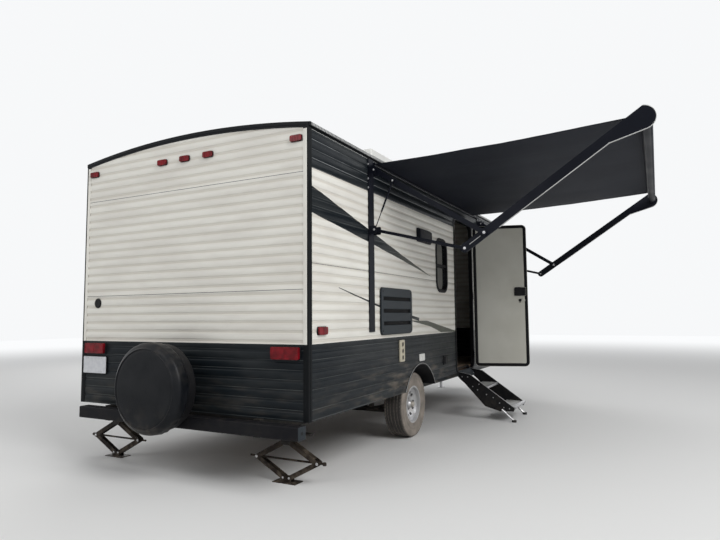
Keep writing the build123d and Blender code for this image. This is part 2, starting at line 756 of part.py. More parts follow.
# Fold-up steps: two deep side plates on a pivot in the step well, two treads, and a leg under each plate
plate_thickness = 8
tread_depth = 215
tread_thickness = 28
tread_fronts = ((1560, 389), (1871, 171))
apron_points = ((1191, 560), (1240, 522), (1264, 478), (1260, 475), (1236, 518), (1187, 556))
leg_top = (1745, 135)
leg_foot = (1885, 12)
leg_radius = 12
leg_gap = 3
leg_foot_size = 46
with BuildPart() as steps:
    for end in (-1, 1):
        plate_x = step_centre + end * (step_width - plate_thickness) / 2
        with BuildSketch(Plane.YZ.offset(plate_x - plate_thickness / 2)):
            with BuildLine():
                Polyline(
                    (-step_pivot_y + 18, step_pivot_z + 18),
                    (-step_pivot_y - 14, step_pivot_z + 18),
                    (-step_pivot_y - 36, step_pivot_z - 22),
                    (-1360, 532),
                    (-1895, 158),
                    (-1880, 118),
                    (-1717, 112),
                    (-1540, 160),
                    (-1290, 425),
                    (-1235, 470),
                    (-step_pivot_y - 18, step_pivot_z - 45),
                    (-step_pivot_y + 20, step_pivot_z - 20),
                    close=True,
                )
            make_face()
        extrude(amount=plate_thickness)
    with BuildSketch(Plane.YZ.offset(step_centre - step_width / 2)):
        with BuildLine():
            Polyline([(-y, z) for y, z in apron_points], close=True)
        make_face()
    extrude(amount=step_width)
    for front_y, top_z in tread_fronts:
        with BuildSketch(Plane.YZ.offset(step_centre - step_width / 2)):
            with Locations((-front_y + tread_depth / 2, top_z - tread_thickness / 2)):
                RectangleRounded(tread_depth, tread_thickness, 8)
        extrude(amount=step_width)
    with BuildSketch(Plane.YZ.offset(step_centre - step_width / 2 - 6)):
        with Locations((-step_pivot_y, step_pivot_z)):
            Circle(8)
    extrude(amount=step_width + 12)
keep(steps, "steps")
leg_run = hypot(leg_foot[0] - leg_top[0], leg_top[1] - leg_foot[1])
with BuildPart() as step_legs:
    for end in (-1, 1):
        leg_x = step_centre + end * (step_width / 2 + leg_gap + leg_radius)
        leg_plane = Plane(
            origin=(leg_x, -leg_top[0], leg_top[1]),
            x_dir=(1, 0, 0),
            z_dir=(0, -(leg_foot[0] - leg_top[0]) / leg_run, -(leg_top[1] - leg_foot[1]) / leg_run),
        )
        with BuildSketch(leg_plane):
            Circle(leg_radius)
        extrude(amount=leg_run)
        with BuildSketch(Plane.XY):
            with Locations((leg_x, -leg_foot[0])):
                Circle(leg_foot_size / 2)
        extrude(amount=leg_foot[1] + 6)
keep(step_legs, "step_legs")

# Windows: a raised rim round each pane, and the pane set in it
window_rim = 26
window_lining = 8
pane_thickness = 5
with BuildPart() as window_frames:
    for side, *row in windows:
        extrude(side_panel(side * inner_half, *row), amount=wall_thickness, dir=(0, side, 0))
        rim_face = side_panel(side * half_width, *row, grow=window_rim - window_lining)
        extrude(rim_face, amount=8, dir=(0, side, 0))
        clear_way = side_panel(side * (inner_half - 10), *row, grow=-window_lining)
        extrude(clear_way, amount=2 * wall_thickness, dir=(0, side, 0), mode=Mode.SUBTRACT)
        middle = from_rear((row[0] + row[1]) / 2)
        with Locations((middle, side * (half_width - 6), (row[2] + row[3]) / 2)):
            Box(row[1] - row[0] - 2 * window_lining, 16, 22)
keep(window_frames, "window_frames")
with BuildPart() as window_glass:
    for side, *row in windows:
        pane = side_panel(side * (half_width - 24), *row, grow=-window_lining)
        extrude(pane, amount=pane_thickness, dir=(0, side, 0))
keep(window_glass, "window_glass")

# Fridge vent: a louvred plate low on the right side
vent_row = (1180, 1890, 1085, 1510, 40)
vent_thickness = 20
louvre_rows = 3
with BuildPart() as fridge_vent:
    extrude(side_panel(-half_width, *vent_row), amount=vent_thickness, dir=(0, -1, 0))
    louvre_gap = (vent_row[3] - vent_row[2]) / (louvre_rows + 0.6)
    for k in range(louvre_rows):
        middle_z = (vent_row[2] + vent_row[3]) / 2 + (k - (louvre_rows - 1) / 2) * louvre_gap
        with Locations((from_rear((vent_row[0] + vent_row[1]) / 2), -half_width - vent_thickness, middle_z)):
            Box(vent_row[1] - vent_row[0] - 90, 2 * vent_thickness - 12, louvre_gap - 34, mode=Mode.SUBTRACT)
keep(fridge_vent, "fridge_vent")

# Small fittings on the sides: side, low and high from the rear wall, bottom, top, corner, depth
fittings = (
    (-1, 1595, 1706, 811, 1021, 12, 14),
    (-1, 2110, 2250, 781, 855, 8, 12),
    (-1, 2840, 2970, 685, 793, 10, 22),
    (-1, 2085, 2465, 2035, 2180, 14, 40),
    (1, 3050, 3430, 640, 1020, 16, 16),
    (1, 1300, 1450, 760, 910, 12, 14),
    (1, 700, 850, 760, 910, 12, 14),
    (1, 300, 450, 760, 910, 12, 14),
)
with BuildPart() as side_fittings:
    for side, low, high, bottom, top, corner, depth in fittings:
        extrude(side_panel(side * half_width, low, high, bottom, top, corner), amount=depth, dir=(0, side, 0))
    with BuildSketch(Plane.YZ.offset(rear_x)):
        with Locations((1030, 1389)):
            Circle(43)
    extrude(amount=-10)
keep(side_fittings, "side_fittings")

# Lamps: tail lamps, five markers across the top of the rear wall, and one marker low on each side
with BuildPart() as lamps:
    lamp_rows = [(-1030, 990, 245, 90, 34), (1030, 990, 245, 90, 34)]
    lamp_rows += [(y, 2575, 100, 46, 20) for y in (-1115, -255, 0, 255, 1115)]
    for y, z, width, height, depth in lamp_rows:
        with BuildSketch(Plane.YZ.offset(rear_x)):
            with Locations((y, z)):
                RectangleRounded(width, height, 12)
        extrude(amount=-depth)
    for side in (-1, 1):
        extrude(side_panel(side * half_width, 114, 238, 1119, 1177, 14), amount=22, dir=(0, side, 0))
keep(lamps, "lamps")

# Number plate, blank, on its bracket under the left tail lamp
with BuildPart() as number_plate:
    with BuildSketch(Plane.YZ.offset(rear_x)):
        with Locations((1040, 842)):
            RectangleRounded(160, 100, 6)
    extrude(amount=-8)
    with BuildSketch(Plane.YZ.offset(rear_x - 8)):
        with Locations((1040, 842)):
            RectangleRounded(305, 152, 12)
    extrude(amount=-3)
keep(number_plate, "number_plate")

# Storage hatches at the front, hinged along their top edges
for hatch_name, side, *row in hatches:
    with BuildPart() as hatch:
        leaf_face = side_panel(side * (half_width + 6 - hatch_thickness), *row)
        extrude(leaf_face, amount=hatch_thickness, dir=(0, side, 0))
        for end in (-1, 1):
            latch_x = from_rear((row[0] + row[1]) / 2 + end * 170)
            with Locations((latch_x, side * (half_width + 6), row[2] + 45)):
                Box(60, 16, 26)
    keep(hatch, f"hatch_{hatch_name}")

# Roof pieces: vent collar and its lid, fridge flue cap and air conditioner
collar_height = 75
with BuildPart() as roof_vent:
    with BuildSketch(Plane.XY.offset(crown_height - roof_thickness)):
        with Locations((from_rear(vent_from_rear), 0)):
            Rectangle(vent_opening - 2, vent_opening - 2)
            Rectangle(vent_opening - 24, vent_opening - 24, mode=Mode.SUBTRACT)
    extrude(amount=roof_thickness + collar_height)
    with BuildSketch(Plane.XY.offset(crown_height)):
        with Locations((from_rear(vent_from_rear), 0)):
            Rectangle(vent_opening + 70, vent_opening + 70)
            Rectangle(vent_opening - 24, vent_opening - 24, mode=Mode.SUBTRACT)
    extrude(amount=6)
keep(roof_vent, "roof_vent")
lid_half = vent_opening / 2 + 25
lid_base = crown_height + collar_height + 5
with BuildPart() as roof_vent_lid:
    with BuildSketch(Plane.XY.offset(lid_base - 30)):
        with Locations((from_rear(vent_from_rear), 0)):
            RectangleRounded(2 * lid_half, 2 * lid_half, 30)
    extrude(amount=65, taper=12)
    with BuildSketch(Plane.XY.offset(lid_base - 31)):
        with Locations((from_rear(vent_from_rear), 0)):
            RectangleRounded(2 * lid_half - 24, 2 * lid_half - 24, 20)
    extrude(amount=31, mode=Mode.SUBTRACT)
keep(roof_vent_lid, "roof_vent_lid")
with BuildPart() as fridge_cap:
    with BuildSketch(Plane.XY.offset(eave_height - 20)):
        with Locations((from_rear(1600), -960)):
            RectangleRounded(540, 250, 30)
    extrude(amount=196, taper=5)
    fillet(fridge_cap.edges().group_by(Axis.Z)[-1], 14)
    extrude(crown_outline(rear_x, 0), amount=body_length, mode=Mode.SUBTRACT)
keep(fridge_cap, "fridge_cap")
cooler_low, cooler_high = 2870, 3600
with BuildPart() as air_conditioner:
    with BuildSketch(Plane.XY.offset(crown_height - 20)):
        with Locations((from_rear((cooler_low + cooler_high) / 2), 0)):
            RectangleRounded(cooler_high - cooler_low, 700, 90)
    extrude(amount=330, taper=9)
    fillet(air_conditioner.edges().group_by(Axis.Z)[-1], 45)
    extrude(crown_outline(rear_x, 0), amount=body_length, mode=Mode.SUBTRACT)
keep(air_conditioner, "air_conditioner")

# Gas bottles' cover and the battery box on the drawbar
with BuildPart() as gas_cover:
    with BuildSketch(Plane.XY.offset(floor_bottom + jack_plate_thickness)):
        with Locations((-420, 0)):
            RectangleRounded(330, 640, 150)
    extrude(amount=470, taper=2)
    fillet(gas_cover.edges().group_by(Axis.Z)[-1], 70)
keep(gas_cover, "gas_cover")
with BuildPart() as battery_box:
    with BuildSketch(Plane.XY.offset(floor_bottom)):
        with Locations((-158, 0)):
            RectangleRounded(150, 330, 20)
    extrude(amount=190)
    with BuildSketch(Plane.XY.offset(floor_bottom + 190)):
        with Locations((-158, 0)):
            RectangleRounded(162, 342, 24)
    extrude(amount=45, taper=8)
keep(battery_box, "battery_box")

# Awning linkage seen from behind: u is how far out from the body's middle, z is the height
upper_swing = radians(upper_arm_angle)
lower_arm_length = upper_arm_length + outer_arm_tail - awning_pivot_gap
top_pivot = (awning_pivot_y, awning_pivot_z)
low_pivot = (awning_pivot_y, awning_pivot_z - awning_pivot_gap)


# A point (u, z) on the upper arm, this far from its pivot
def on_upper_arm(distance):
    return (top_pivot[0] + distance * cos(upper_swing), top_pivot[1] - distance * sin(upper_swing))


elbow = on_upper_arm(upper_arm_length)
span = hypot(elbow[0] - low_pivot[0], elbow[1] - low_pivot[1])
along = (lower_arm_length ** 2 - outer_arm_tail ** 2 + span ** 2) / (2 * span)
aside = sqrt(lower_arm_length ** 2 - along ** 2)
span_u = (elbow[0] - low_pivot[0]) / span
span_z = (elbow[1] - low_pivot[1]) / span
tail = (low_pivot[0] + along * span_u + aside * span_z, low_pivot[1] + along * span_z - aside * span_u)
outer_u = (elbow[0] - tail[0]) / outer_arm_tail
outer_z = (elbow[1] - tail[1]) / outer_arm_tail
head = (
    elbow[0] + outer_arm_length * outer_u + roller_offset * outer_z,
    elbow[1] + outer_arm_length * outer_z - roller_offset * outer_u,
)
strut_on_arm = 210
strut_top = on_upper_arm(strut_on_arm)
strut_length = hypot(strut_top[0] - low_pivot[0], strut_top[1] - low_pivot[1])
strut_radius = 8
rod_radius = 4
strut_barrel = 285
strut_engaged = 90
strut_eye_radius = 11
awning_sets = ((from_rear(awning_rear_from_rear), 1), (from_rear(awning_front_from_rear), -1))
lane = {name: (k - 1.5) * arm_pitch for k, name in enumerate(("strut", "upper", "outer", "lower"))}
pin_radius = 6


# A bar of the awning between two points (u, z), in one lane of one linkage
def awning_bar(set_x, inward, lane_name, start, end, depth):
    length = hypot(end[0] - start[0], end[1] - start[1])
    tilt = degrees(atan2(end[1] - start[1], -(end[0] - start[0])))
    with BuildSketch(Plane.YZ.offset(set_x + inward * lane[lane_name] - arm_width / 2)) as bar:
        with Locations(Location((-(start[0] + end[0]) / 2, (start[1] + end[1]) / 2), tilt)):
            SlotCenterToCenter(length, depth)
    return bar.sketch


# A pin along X through a point (u, z), reaching over two lanes
def awning_pin(set_x, inward, first, last, point, radius=pin_radius):
    start = set_x + inward * first
    with BuildSketch(Plane.YZ.offset(start)) as pin:
        with Locations((-point[0], point[1])):
            Circle(radius)
    return extrude(pin.sketch, amount=abs(last - first), dir=(inward if last > first else -inward, 0, 0))


channel_half = 2 * arm_pitch + 8
channel_low = 1115
channel_high = 2645
channel_thickness = 10
awning_rail_z = 2618
bracket_reach = awning_pivot_y + 20
with BuildPart() as awning_base:
    for set_x, inward in awning_sets:
        with Locations((set_x, -half_width - channel_thickness / 2, (channel_low + channel_high) / 2)):
            Box(2 * channel_half, channel_thickness, channel_high - channel_low)
        for pivot in (top_pivot, low_pivot):
            for end in (-1, 1):
                with BuildSketch(Plane.YZ.offset(set_x + end * (channel_half - 3) - 3)):
                    with Locations((-(half_width + bracket_reach) / 2, pivot[1])):
                        RectangleRounded(bracket_reach - half_width, 70, 12)
                extrude(amount=6)
    with Locations(((awning_sets[0][0] + awning_sets[1][0]) / 2, -half_width - 10, awning_rail_z)):
        Box(awning_front_from_rear - awning_rear_from_rear - 2 * channel_half, 20, 26)
keep(awning_base, "awning_base")
with BuildPart() as awning_upper_arms:
    for set_x, inward in awning_sets:
        extrude(awning_bar(set_x, inward, "upper", top_pivot, elbow, upper_arm_depth), amount=arm_width)
        add(awning_pin(set_x, inward, -channel_half + 9, lane["upper"], top_pivot))
        add(awning_pin(set_x, inward, lane["upper"], lane["outer"] - arm_width / 2 - 1, elbow))
keep(awning_upper_arms, "awning_upper_arms")
arm_end = (elbow[0] + outer_arm_length * outer_u, elbow[1] + outer_arm_length * outer_z)
end_cap_drop = 0.4 * end_cap_radius
arm_tilt = degrees(atan2(outer_z, -outer_u))


# A point (u, z) beside the outer arm: so far past its end, and so far below its middle line
def by_arm_end(past, below):
    return (arm_end[0] + past * outer_u + below * outer_z, arm_end[1] + past * outer_z - below * outer_u)


cap_middle = by_arm_end(-end_cap_setback, end_cap_drop)
flare_start = by_arm_end(-end_cap_flare, 0)
over_arm = by_arm_end(0, -outer_arm_depth / 2 - 2 * end_cap_radius)
with BuildPart() as awning_outer_arms:
    for set_x, inward in awning_sets:
        extrude(awning_bar(set_x, inward, "outer", tail, flare_start, outer_arm_depth), amount=arm_width)
        with BuildSketch(Plane.YZ.offset(set_x + inward * lane["outer"] - arm_width / 2)):
            with Locations((-cap_middle[0], cap_middle[1])):
                Circle(end_cap_radius)
            with Locations((-flare_start[0], flare_start[1])):
                Circle(outer_arm_depth / 2)
            make_hull()
            with Locations(Location((-over_arm[0], over_arm[1]), arm_tilt)):
                Rectangle(4 * end_cap_flare, 4 * end_cap_radius, mode=Mode.SUBTRACT)
        extrude(amount=arm_width)
keep(awning_outer_arms, "awning_outer_arms")
with BuildPart() as awning_lower_arms:
    for set_x, inward in awning_sets:
        extrude(awning_bar(set_x, inward, "lower", low_pivot, tail, lower_arm_depth), amount=arm_width)
        add(awning_pin(set_x, inward, lane["lower"], channel_half - 7, low_pivot))
keep(awning_lower_arms, "awning_lower_arms")
strut_u = (strut_top[0] - low_pivot[0]) / strut_length
strut_z = (strut_top[1] - low_pivot[1]) / strut_length
with BuildPart() as strut_rods:
    for set_x, inward in awning_sets:
        rod_plane = Plane(
            origin=(set_x + inward * lane["strut"], -low_pivot[0], low_pivot[1]),
            x_dir=(1, 0, 0),
            z_dir=(0, -strut_u, strut_z),
        )
        with BuildSketch(rod_plane):
            Circle(rod_radius)
        extrude(amount=strut_length - strut_barrel + strut_engaged)
        with BuildSketch(Plane.YZ.offset(set_x + inward * lane["strut"] - strut_radius)):
            with Locations((-low_pivot[0], low_pivot[1])):
                Circle(strut_eye_radius)
        extrude(amount=2 * strut_radius)
        add(awning_pin(set_x, inward, -channel_half + 9, lane["strut"], low_pivot))
keep(strut_rods, "strut_rods")
with BuildPart() as strut_barrels:
    for set_x, inward in awning_sets:
        barrel_plane = Plane(
            origin=(set_x + inward * lane["strut"], -strut_top[0], strut_top[1]),
            x_dir=(1, 0, 0),
            z_dir=(0, strut_u, -strut_z),
        )
        with BuildSketch(barrel_plane):
            Circle(strut_radius)
        extrude(amount=strut_barrel)
        with BuildSketch(barrel_plane.offset(20)):
            Circle(rod_radius + 0.5)
        extrude(amount=strut_barrel, mode=Mode.SUBTRACT)
        with BuildSketch(Plane.YZ.offset(set_x + inward * lane["strut"] - strut_radius)):
            with Locations((-strut_top[0], strut_top[1])):
                Circle(strut_eye_radius)
        extrude(amount=2 * strut_radius)
keep(strut_barrels, "strut_barrels")
roller_gap = lane["outer"] + arm_width / 2
with BuildPart() as awning_roller:
    with BuildSketch(Plane.YZ.offset(awning_sets[0][0] + roller_gap)):
        with Locations((-head[0], head[1])):
            Circle(roller_radius)
    extrude(amount=awning_sets[1][0] - awning_sets[0][0] - 2 * roller_gap)
keep(awning_roller, "awning_roller")
fabric_thickness = 3
with BuildPart() as awning_fabric:
    with BuildSketch(Plane.YZ.offset(from_rear(fabric_low_from_rear))):
        with BuildLine():
            Polyline(
                (-half_width - 21, awning_rail_z),
                (-half_width - 21, awning_rail_z + fabric_thickness),
                (-head[0], head[1] + roller_radius + 1 + fabric_thickness),
                (-head[0], head[1] + roller_radius + 1),
                close=True,
            )
        make_face()
    extrude(amount=fabric_high_from_rear - fabric_low_from_rear)
keep(awning_fabric, "awning_fabric")

# Scissor stabilisers: folded-channel arms that nest, a levelled foot and the screw between the knuckles
scissor_x = from_rear(scissor_from_rear)
scissor_lean = asin((scissor_top_z - scissor_foot_z) / 2 / scissor_arm)
scissor_mid_z = (scissor_top_z + scissor_foot_z) / 2
knee_half = scissor_pin_half + scissor_arm * cos(scissor_lean)
channel_wall = 3
arm_drop = 36
lower_width = scissor_width - 2 * channel_wall - 6
screw_radius = 8
screw_spare = 75


# A folded channel from one pin to the other in the plane of a jack, with its back above or below the pins
def scissor_channel(start, end, width, back):
    length = hypot(end[0] - start[0], end[1] - start[1])
    run = ((end[0] - start[0]) / length, (end[1] - start[1]) / length)
    with BuildPart() as channel:
        plane = Plane(origin=(scissor_x, start[0], start[1]), x_dir=(0, run[0], run[1]), z_dir=(1, 0, 0))
        with BuildSketch(plane.offset(-width / 2)):
            with Locations((length / 2, 0)):
                SlotCenterToCenter(length, arm_drop)
        extrude(amount=width)
        flip = back if run[0] > 0 else -back
        with BuildSketch(plane.offset(-width / 2 + channel_wall)):
            with Locations((length / 2, -flip * channel_wall)):
                Rectangle(length + 2 * arm_drop, arm_drop)
        extrude(amount=width - 2 * channel_wall, mode=Mode.SUBTRACT)
        for x in (0, length):
            with BuildSketch(plane.offset(-width / 2 + channel_wall)):
                with Locations((x, 0)):
                    Rectangle(2 * arm_drop, 2 * arm_drop)
            extrude(amount=width - 2 * channel_wall, mode=Mode.SUBTRACT)
        for x in (0, length):
            for face in (-1, 1):
                with BuildSketch(plane.offset(face * (width / 2 - channel_wall))):
                    with Locations((x, 0)):
                        Circle(7)
                extrude(amount=face * (channel_wall + 1))
    return channel.part


for jack_name, jack_y in scissor_places:
    outward = 1 if jack_y > 0 else -1
    for arm_name, side in (("a", outward), ("b", -outward)):
        top_pin = (jack_y + side * scissor_pin_half, scissor_top_z)
        knee_pin = (jack_y + side * knee_half, scissor_mid_z)
        foot_pin = (jack_y + side * scissor_pin_half, scissor_foot_z)
        with BuildPart() as upper_arm:
            add(scissor_channel(top_pin, knee_pin, scissor_width, 1))
        keep(upper_arm, f"stand_{jack_name}_upper_{arm_name}")
        with BuildPart() as lower_arm:
            add(scissor_channel(foot_pin, knee_pin, lower_width, -1))
        keep(lower_arm, f"stand_{jack_name}_lower_{arm_name}")
    with BuildPart() as foot:
        with Locations((scissor_x, jack_y, 3)):
            Box(110, 210, 6)
        for face in (-1, 1):
            with Locations((scissor_x + face * (lower_width / 2 + 3.5), jack_y, 6 + 18)):
                Box(4, 2 * scissor_pin_half + 34, 38)
    keep(foot, f"stand_{jack_name}_foot")
    screw_end = jack_y + outward * (knee_half + 40)
    with BuildPart() as screw:
        with BuildSketch(Plane.XZ.offset(-screw_end)):
            with Locations((scissor_x, scissor_mid_z)):
                Circle(screw_radius)
        extrude(amount=outward * (2 * knee_half + 40 + screw_spare))
        with BuildSketch(Plane.XZ.offset(-screw_end)):
            with Locations((scissor_x, scissor_mid_z)):
                RegularPolygon(14, 6)
        extrude(amount=-outward * 22)
    keep(screw, f"stand_{jack_name}_screw")
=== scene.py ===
import math

import bmesh
import bpy
from mathutils import Matrix, Vector, noise


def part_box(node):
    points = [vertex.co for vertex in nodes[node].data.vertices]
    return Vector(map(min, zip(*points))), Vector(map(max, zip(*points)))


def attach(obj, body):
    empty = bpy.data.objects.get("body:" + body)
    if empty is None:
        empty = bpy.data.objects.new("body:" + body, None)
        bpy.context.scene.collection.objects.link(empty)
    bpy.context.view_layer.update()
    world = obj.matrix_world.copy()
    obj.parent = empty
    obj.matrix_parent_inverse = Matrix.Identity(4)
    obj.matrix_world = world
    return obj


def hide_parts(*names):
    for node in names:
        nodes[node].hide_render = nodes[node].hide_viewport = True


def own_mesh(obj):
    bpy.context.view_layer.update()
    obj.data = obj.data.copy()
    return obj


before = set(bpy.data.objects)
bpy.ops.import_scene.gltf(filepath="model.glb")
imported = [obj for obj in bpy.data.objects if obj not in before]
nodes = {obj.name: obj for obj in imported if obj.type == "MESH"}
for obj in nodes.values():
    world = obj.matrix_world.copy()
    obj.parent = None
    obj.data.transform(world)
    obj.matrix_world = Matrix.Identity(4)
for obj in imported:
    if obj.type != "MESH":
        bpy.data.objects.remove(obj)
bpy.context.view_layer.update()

rearWall = -6.15  # the body's rear face; distances "from the rear" start here
halfWidth = 1.219
print("frame loaded:", len(nodes), "nodes")


# Camera, floor and light

view = {
    "place": (-9.5854, -3.4415, 1.2539),
    "yaw": 27.686,  # degrees to the left of forward
    "pitch": 4.652,
    "roll": -0.49,
    "sensor": 36,
    "focalPixels": 566.94,
    "pictureWidth": 720,
    "farthest": 200,
}


def addToScene(name, data):
    made = bpy.data.objects.new(name, data)
    bpy.context.scene.collection.objects.link(made)
    return made


def makeCamera(spec):
    yaw, pitch, roll = (math.radians(spec[key]) for key in ("yaw", "pitch", "roll"))
    forward = Vector((math.cos(pitch) * math.cos(yaw), math.cos(pitch) * math.sin(yaw), math.sin(pitch)))
    right = forward.cross(Vector((0, 0, 1))).normalized()
    up = right.cross(forward)
    turned = math.cos(roll) * right + math.sin(roll) * up
    raised = -math.sin(roll) * right + math.cos(roll) * up
    data = bpy.data.cameras.new("photoCamera")
    data.sensor_width = spec["sensor"]
    data.lens = spec["focalPixels"] * spec["sensor"] / spec["pictureWidth"]
    data.clip_end = spec["farthest"]
    camera = addToScene("photoCamera", data)
    axes = Matrix((turned, raised, -forward)).transposed().to_4x4()
    camera.matrix_world = Matrix.Translation(spec["place"]) @ axes
    bpy.context.scene.camera = camera


makeCamera(view)
bpy.context.scene.view_settings.view_transform = "Standard"


# Shader maths

def mathMethod(operation, reflected=False):
    def method(self, other=0.0):
        first, second = (other, self) if reflected else (self, other)
        return self.finish.node("Math", {"operation": operation}, {0: first, 1: second})
    return method


class Wire:  # a socket that sums can be written with
    def __init__(self, finish, socket):
        self.finish, self.socket = finish, socket

    __add__ = __radd__ = mathMethod("ADD")
    __sub__ = mathMethod("SUBTRACT")
    __rsub__ = mathMethod("SUBTRACT", True)
    __mul__ = __rmul__ = mathMethod("MULTIPLY")
    __truediv__ = mathMethod("DIVIDE")
    __mod__ = mathMethod("FLOORED_MODULO")
    __lt__ = mathMethod("LESS_THAN")
    __gt__ = mathMethod("GREATER_THAN")
    __abs__ = mathMethod("ABSOLUTE")
    root = mathMethod("SQRT")
    sine = mathMethod("SINE")
    atLeast = mathMethod("MAXIMUM")
    atMost = mathMethod("MINIMUM")


class Finish:  # one material and its nodes
    inputs = {"colour": "Base Color", "rough": "Roughness", "metal": "Metallic", "coat": "Coat Weight",
              "coatRough": "Coat Roughness", "specular": "Specular IOR Level", "glow": "Emission Color",
              "glowing": "Emission Strength"}

    def __init__(self, name):
        self.material = bpy.data.materials.new(name)
        self.material.use_nodes = True
        self.tree = self.material.node_tree
        self.tree.nodes.clear()
        self.shader = self.tree.nodes.new("ShaderNodeBsdfPrincipled")
        output = self.tree.nodes.new("ShaderNodeOutputMaterial")
        self.tree.links.new(self.shader.outputs[0], output.inputs[0])

    def node(self, kind, settings=None, sockets=None, out=0):
        made = self.tree.nodes.new("ShaderNode" + kind)
        for key, value in (settings or {}).items():
            setattr(made, key, value)
        for key, value in (sockets or {}).items():
            self.feed(made.inputs[key], value)
        return Wire(self, made.outputs[out])

    def feed(self, socket, value):
        if isinstance(value, Wire):
            self.tree.links.new(value.socket, socket)
        else:
            socket.default_value = value

    def place(self):
        return self.node("TexCoord", out="Object")

    def axes(self, vector=None):
        made = self.tree.nodes.new("ShaderNodeSeparateXYZ")
        self.feed(made.inputs[0], vector or self.place())
        return [Wire(self, socket) for socket in made.outputs]

    def facing(self):
        return self.axes(self.node("NewGeometry", out="Normal"))

    def noise(self, scale, detail=4, stretch=(1, 1, 1)):
        place = self.node("VectorMath", {"operation": "MULTIPLY"}, {0: self.place(), 1: stretch})
        return self.node("TexNoise", None, {"Vector": place, "Scale": scale, "Detail": detail})

    def ramp(self, value, low, high):
        sockets = {"Value": value, "From Min": low, "From Max": high}
        return self.node("MapRange", {"interpolation_type": "SMOOTHSTEP"}, sockets)

    def mix(self, mask, first, second):
        colours = [c if isinstance(c, Wire) else (*c, 1) for c in (first, second)]
        return self.node("Mix", {"data_type": "RGBA"}, {0: mask, 6: colours[0], 7: colours[1]}, 2)

    def set(self, **sockets):
        for key, value in sockets.items():
            value = (*value, 1) if isinstance(value, tuple) else value
            self.feed(self.shader.inputs[self.inputs[key]], value)

    def bump(self, height, strength, distance):
        sockets = {"Height": height, "Strength": strength, "Distance": distance}
        self.tree.links.new(self.node("Bump", None, sockets).socket, self.shader.inputs["Normal"])


studio = {
    "floor": (0.8, 0.8, 0.79),
    "floorSize": 60,
    "backdrop": (0.93, 0.94, 0.95),
    "fade": (8.0, 24.0),  # how far out the floor turns into the backdrop
    "fill": (0.97, 0.98, 1.0),
    "fillStrength": 0.43,
    "middle": (-3, 0, 0),
    "aim": (-3, 0, 1),
    # name, place, size and power
    "lamps": (("keyLight", (-8, -9, 8), 6, 740), ("rearLight", (-14, 3, 6), 5, 190),
              ("farLight", (3, 8, 7), 6, 330)),
}


def makeFloor(spec):
    bpy.ops.mesh.primitive_plane_add(size=spec["floorSize"], location=spec["middle"])
    floor = bpy.context.object
    floor.name = "studioFloor"
    finish = Finish("studioFloor")
    x, y = finish.axes()[:2]
    away = finish.ramp((x * x + y * y).root(), *spec["fade"])
    finish.set(colour=finish.mix(away, spec["floor"], (0, 0, 0)), rough=0.9, specular=0.1)
    finish.set(glow=finish.mix(away, (0, 0, 0), spec["backdrop"]), glowing=1.0)
    floor.data.materials.append(finish.material)


def makeWorld(spec):
    # the camera and reflections see the backdrop, and a weaker fill lights the object
    world = bpy.data.worlds.new("studioWorld")
    world.use_nodes = True
    bpy.context.scene.world = world
    tree = world.node_tree
    tree.nodes.clear()
    choose = tree.nodes.new("ShaderNodeMixShader")
    for slot, colour, strength in ((1, spec["fill"], spec["fillStrength"]), (2, spec["backdrop"], 1.0)):
        light = tree.nodes.new("ShaderNodeBackground")
        light.inputs[0].default_value = (*colour, 1)
        light.inputs[1].default_value = strength
        tree.links.new(light.outputs[0], choose.inputs[slot])
    paths = tree.nodes.new("ShaderNodeLightPath")
    shown = paths.outputs["Is Camera Ray"]
    for kind in ("Is Glossy Ray", "Is Transmission Ray"):
        either = tree.nodes.new("ShaderNodeMath")
        either.operation = "MAXIMUM"
        tree.links.new(shown, either.inputs[0])
        tree.links.new(paths.outputs[kind], either.inputs[1])
        shown = either.outputs[0]
    tree.links.new(shown, choose.inputs[0])
    output = tree.nodes.new("ShaderNodeOutputWorld")
    tree.links.new(choose.outputs[0], output.inputs[0])


def makeLamps(spec):
    for name, place, size, power in spec["lamps"]:
        data = bpy.data.lights.new(name, "AREA")
        data.size, data.energy = size, power
        lamp = addToScene(name, data)
        lamp.location = place
        lamp.rotation_euler = (Vector(spec["aim"]) - Vector(place)).to_track_quat("-Z", "Y").to_euler()


makeFloor(studio)
makeWorld(studio)
makeLamps(studio)
print("camera, floor and lights made")


# Finishes

tones = {
    "dust": (0.26, 0.215, 0.165),
    "seam": (0.1, 0.1, 0.1),
    "glass": (0.012, 0.013, 0.015),
    "lens": ((0.1, 0.002, 0.005), (0.2, 0.004, 0.01)),
    "cloth": ((0.012, 0.014, 0.021), (0.021, 0.024, 0.033)),
    "plate": ((0.6, 0.61, 0.63), (0.53, 0.54, 0.57)),
    "trim": ((0.005, 0.006, 0.007), (0.008, 0.009, 0.011)),
    "rubber": ((0.022, 0.021, 0.021), (0.38, 0.33, 0.28)),  # clean, and under dust
}


def coated(name, colour, other, rough, grain=(0.15, 400, 0.0003), metal=0.0, patch=3.0, dust=0.0, dustTop=0.6,
           stretch=(1, 1, 1), specular=0.5):
    # grain holds the bump's strength, its scale and its depth; dust thins out up to dustTop
    strength, scale, depth = grain
    finish = Finish(name)
    cloud = finish.ramp(finish.noise(patch, 5, stretch), 0.35, 0.68)
    base = finish.mix(cloud, colour, other)
    if dust:
        up = finish.facing()[2].atLeast(0.0)
        height = finish.axes()[2]
        settled = finish.ramp(finish.noise(14, 6), 0.42, 0.72)
        low = finish.ramp(height, dustTop, 0.0)
        amount = (settled * (low * dust + up * (0.35 * dust))).atMost(1.0)
        base = finish.mix(amount, base, tones["dust"])
    fine = finish.noise(scale, 3)
    finish.set(colour=base, rough=fine * 0.16 + cloud * 0.1 + (rough - 0.13), metal=metal, specular=specular)
    finish.bump(fine, strength, depth)
    return finish.material


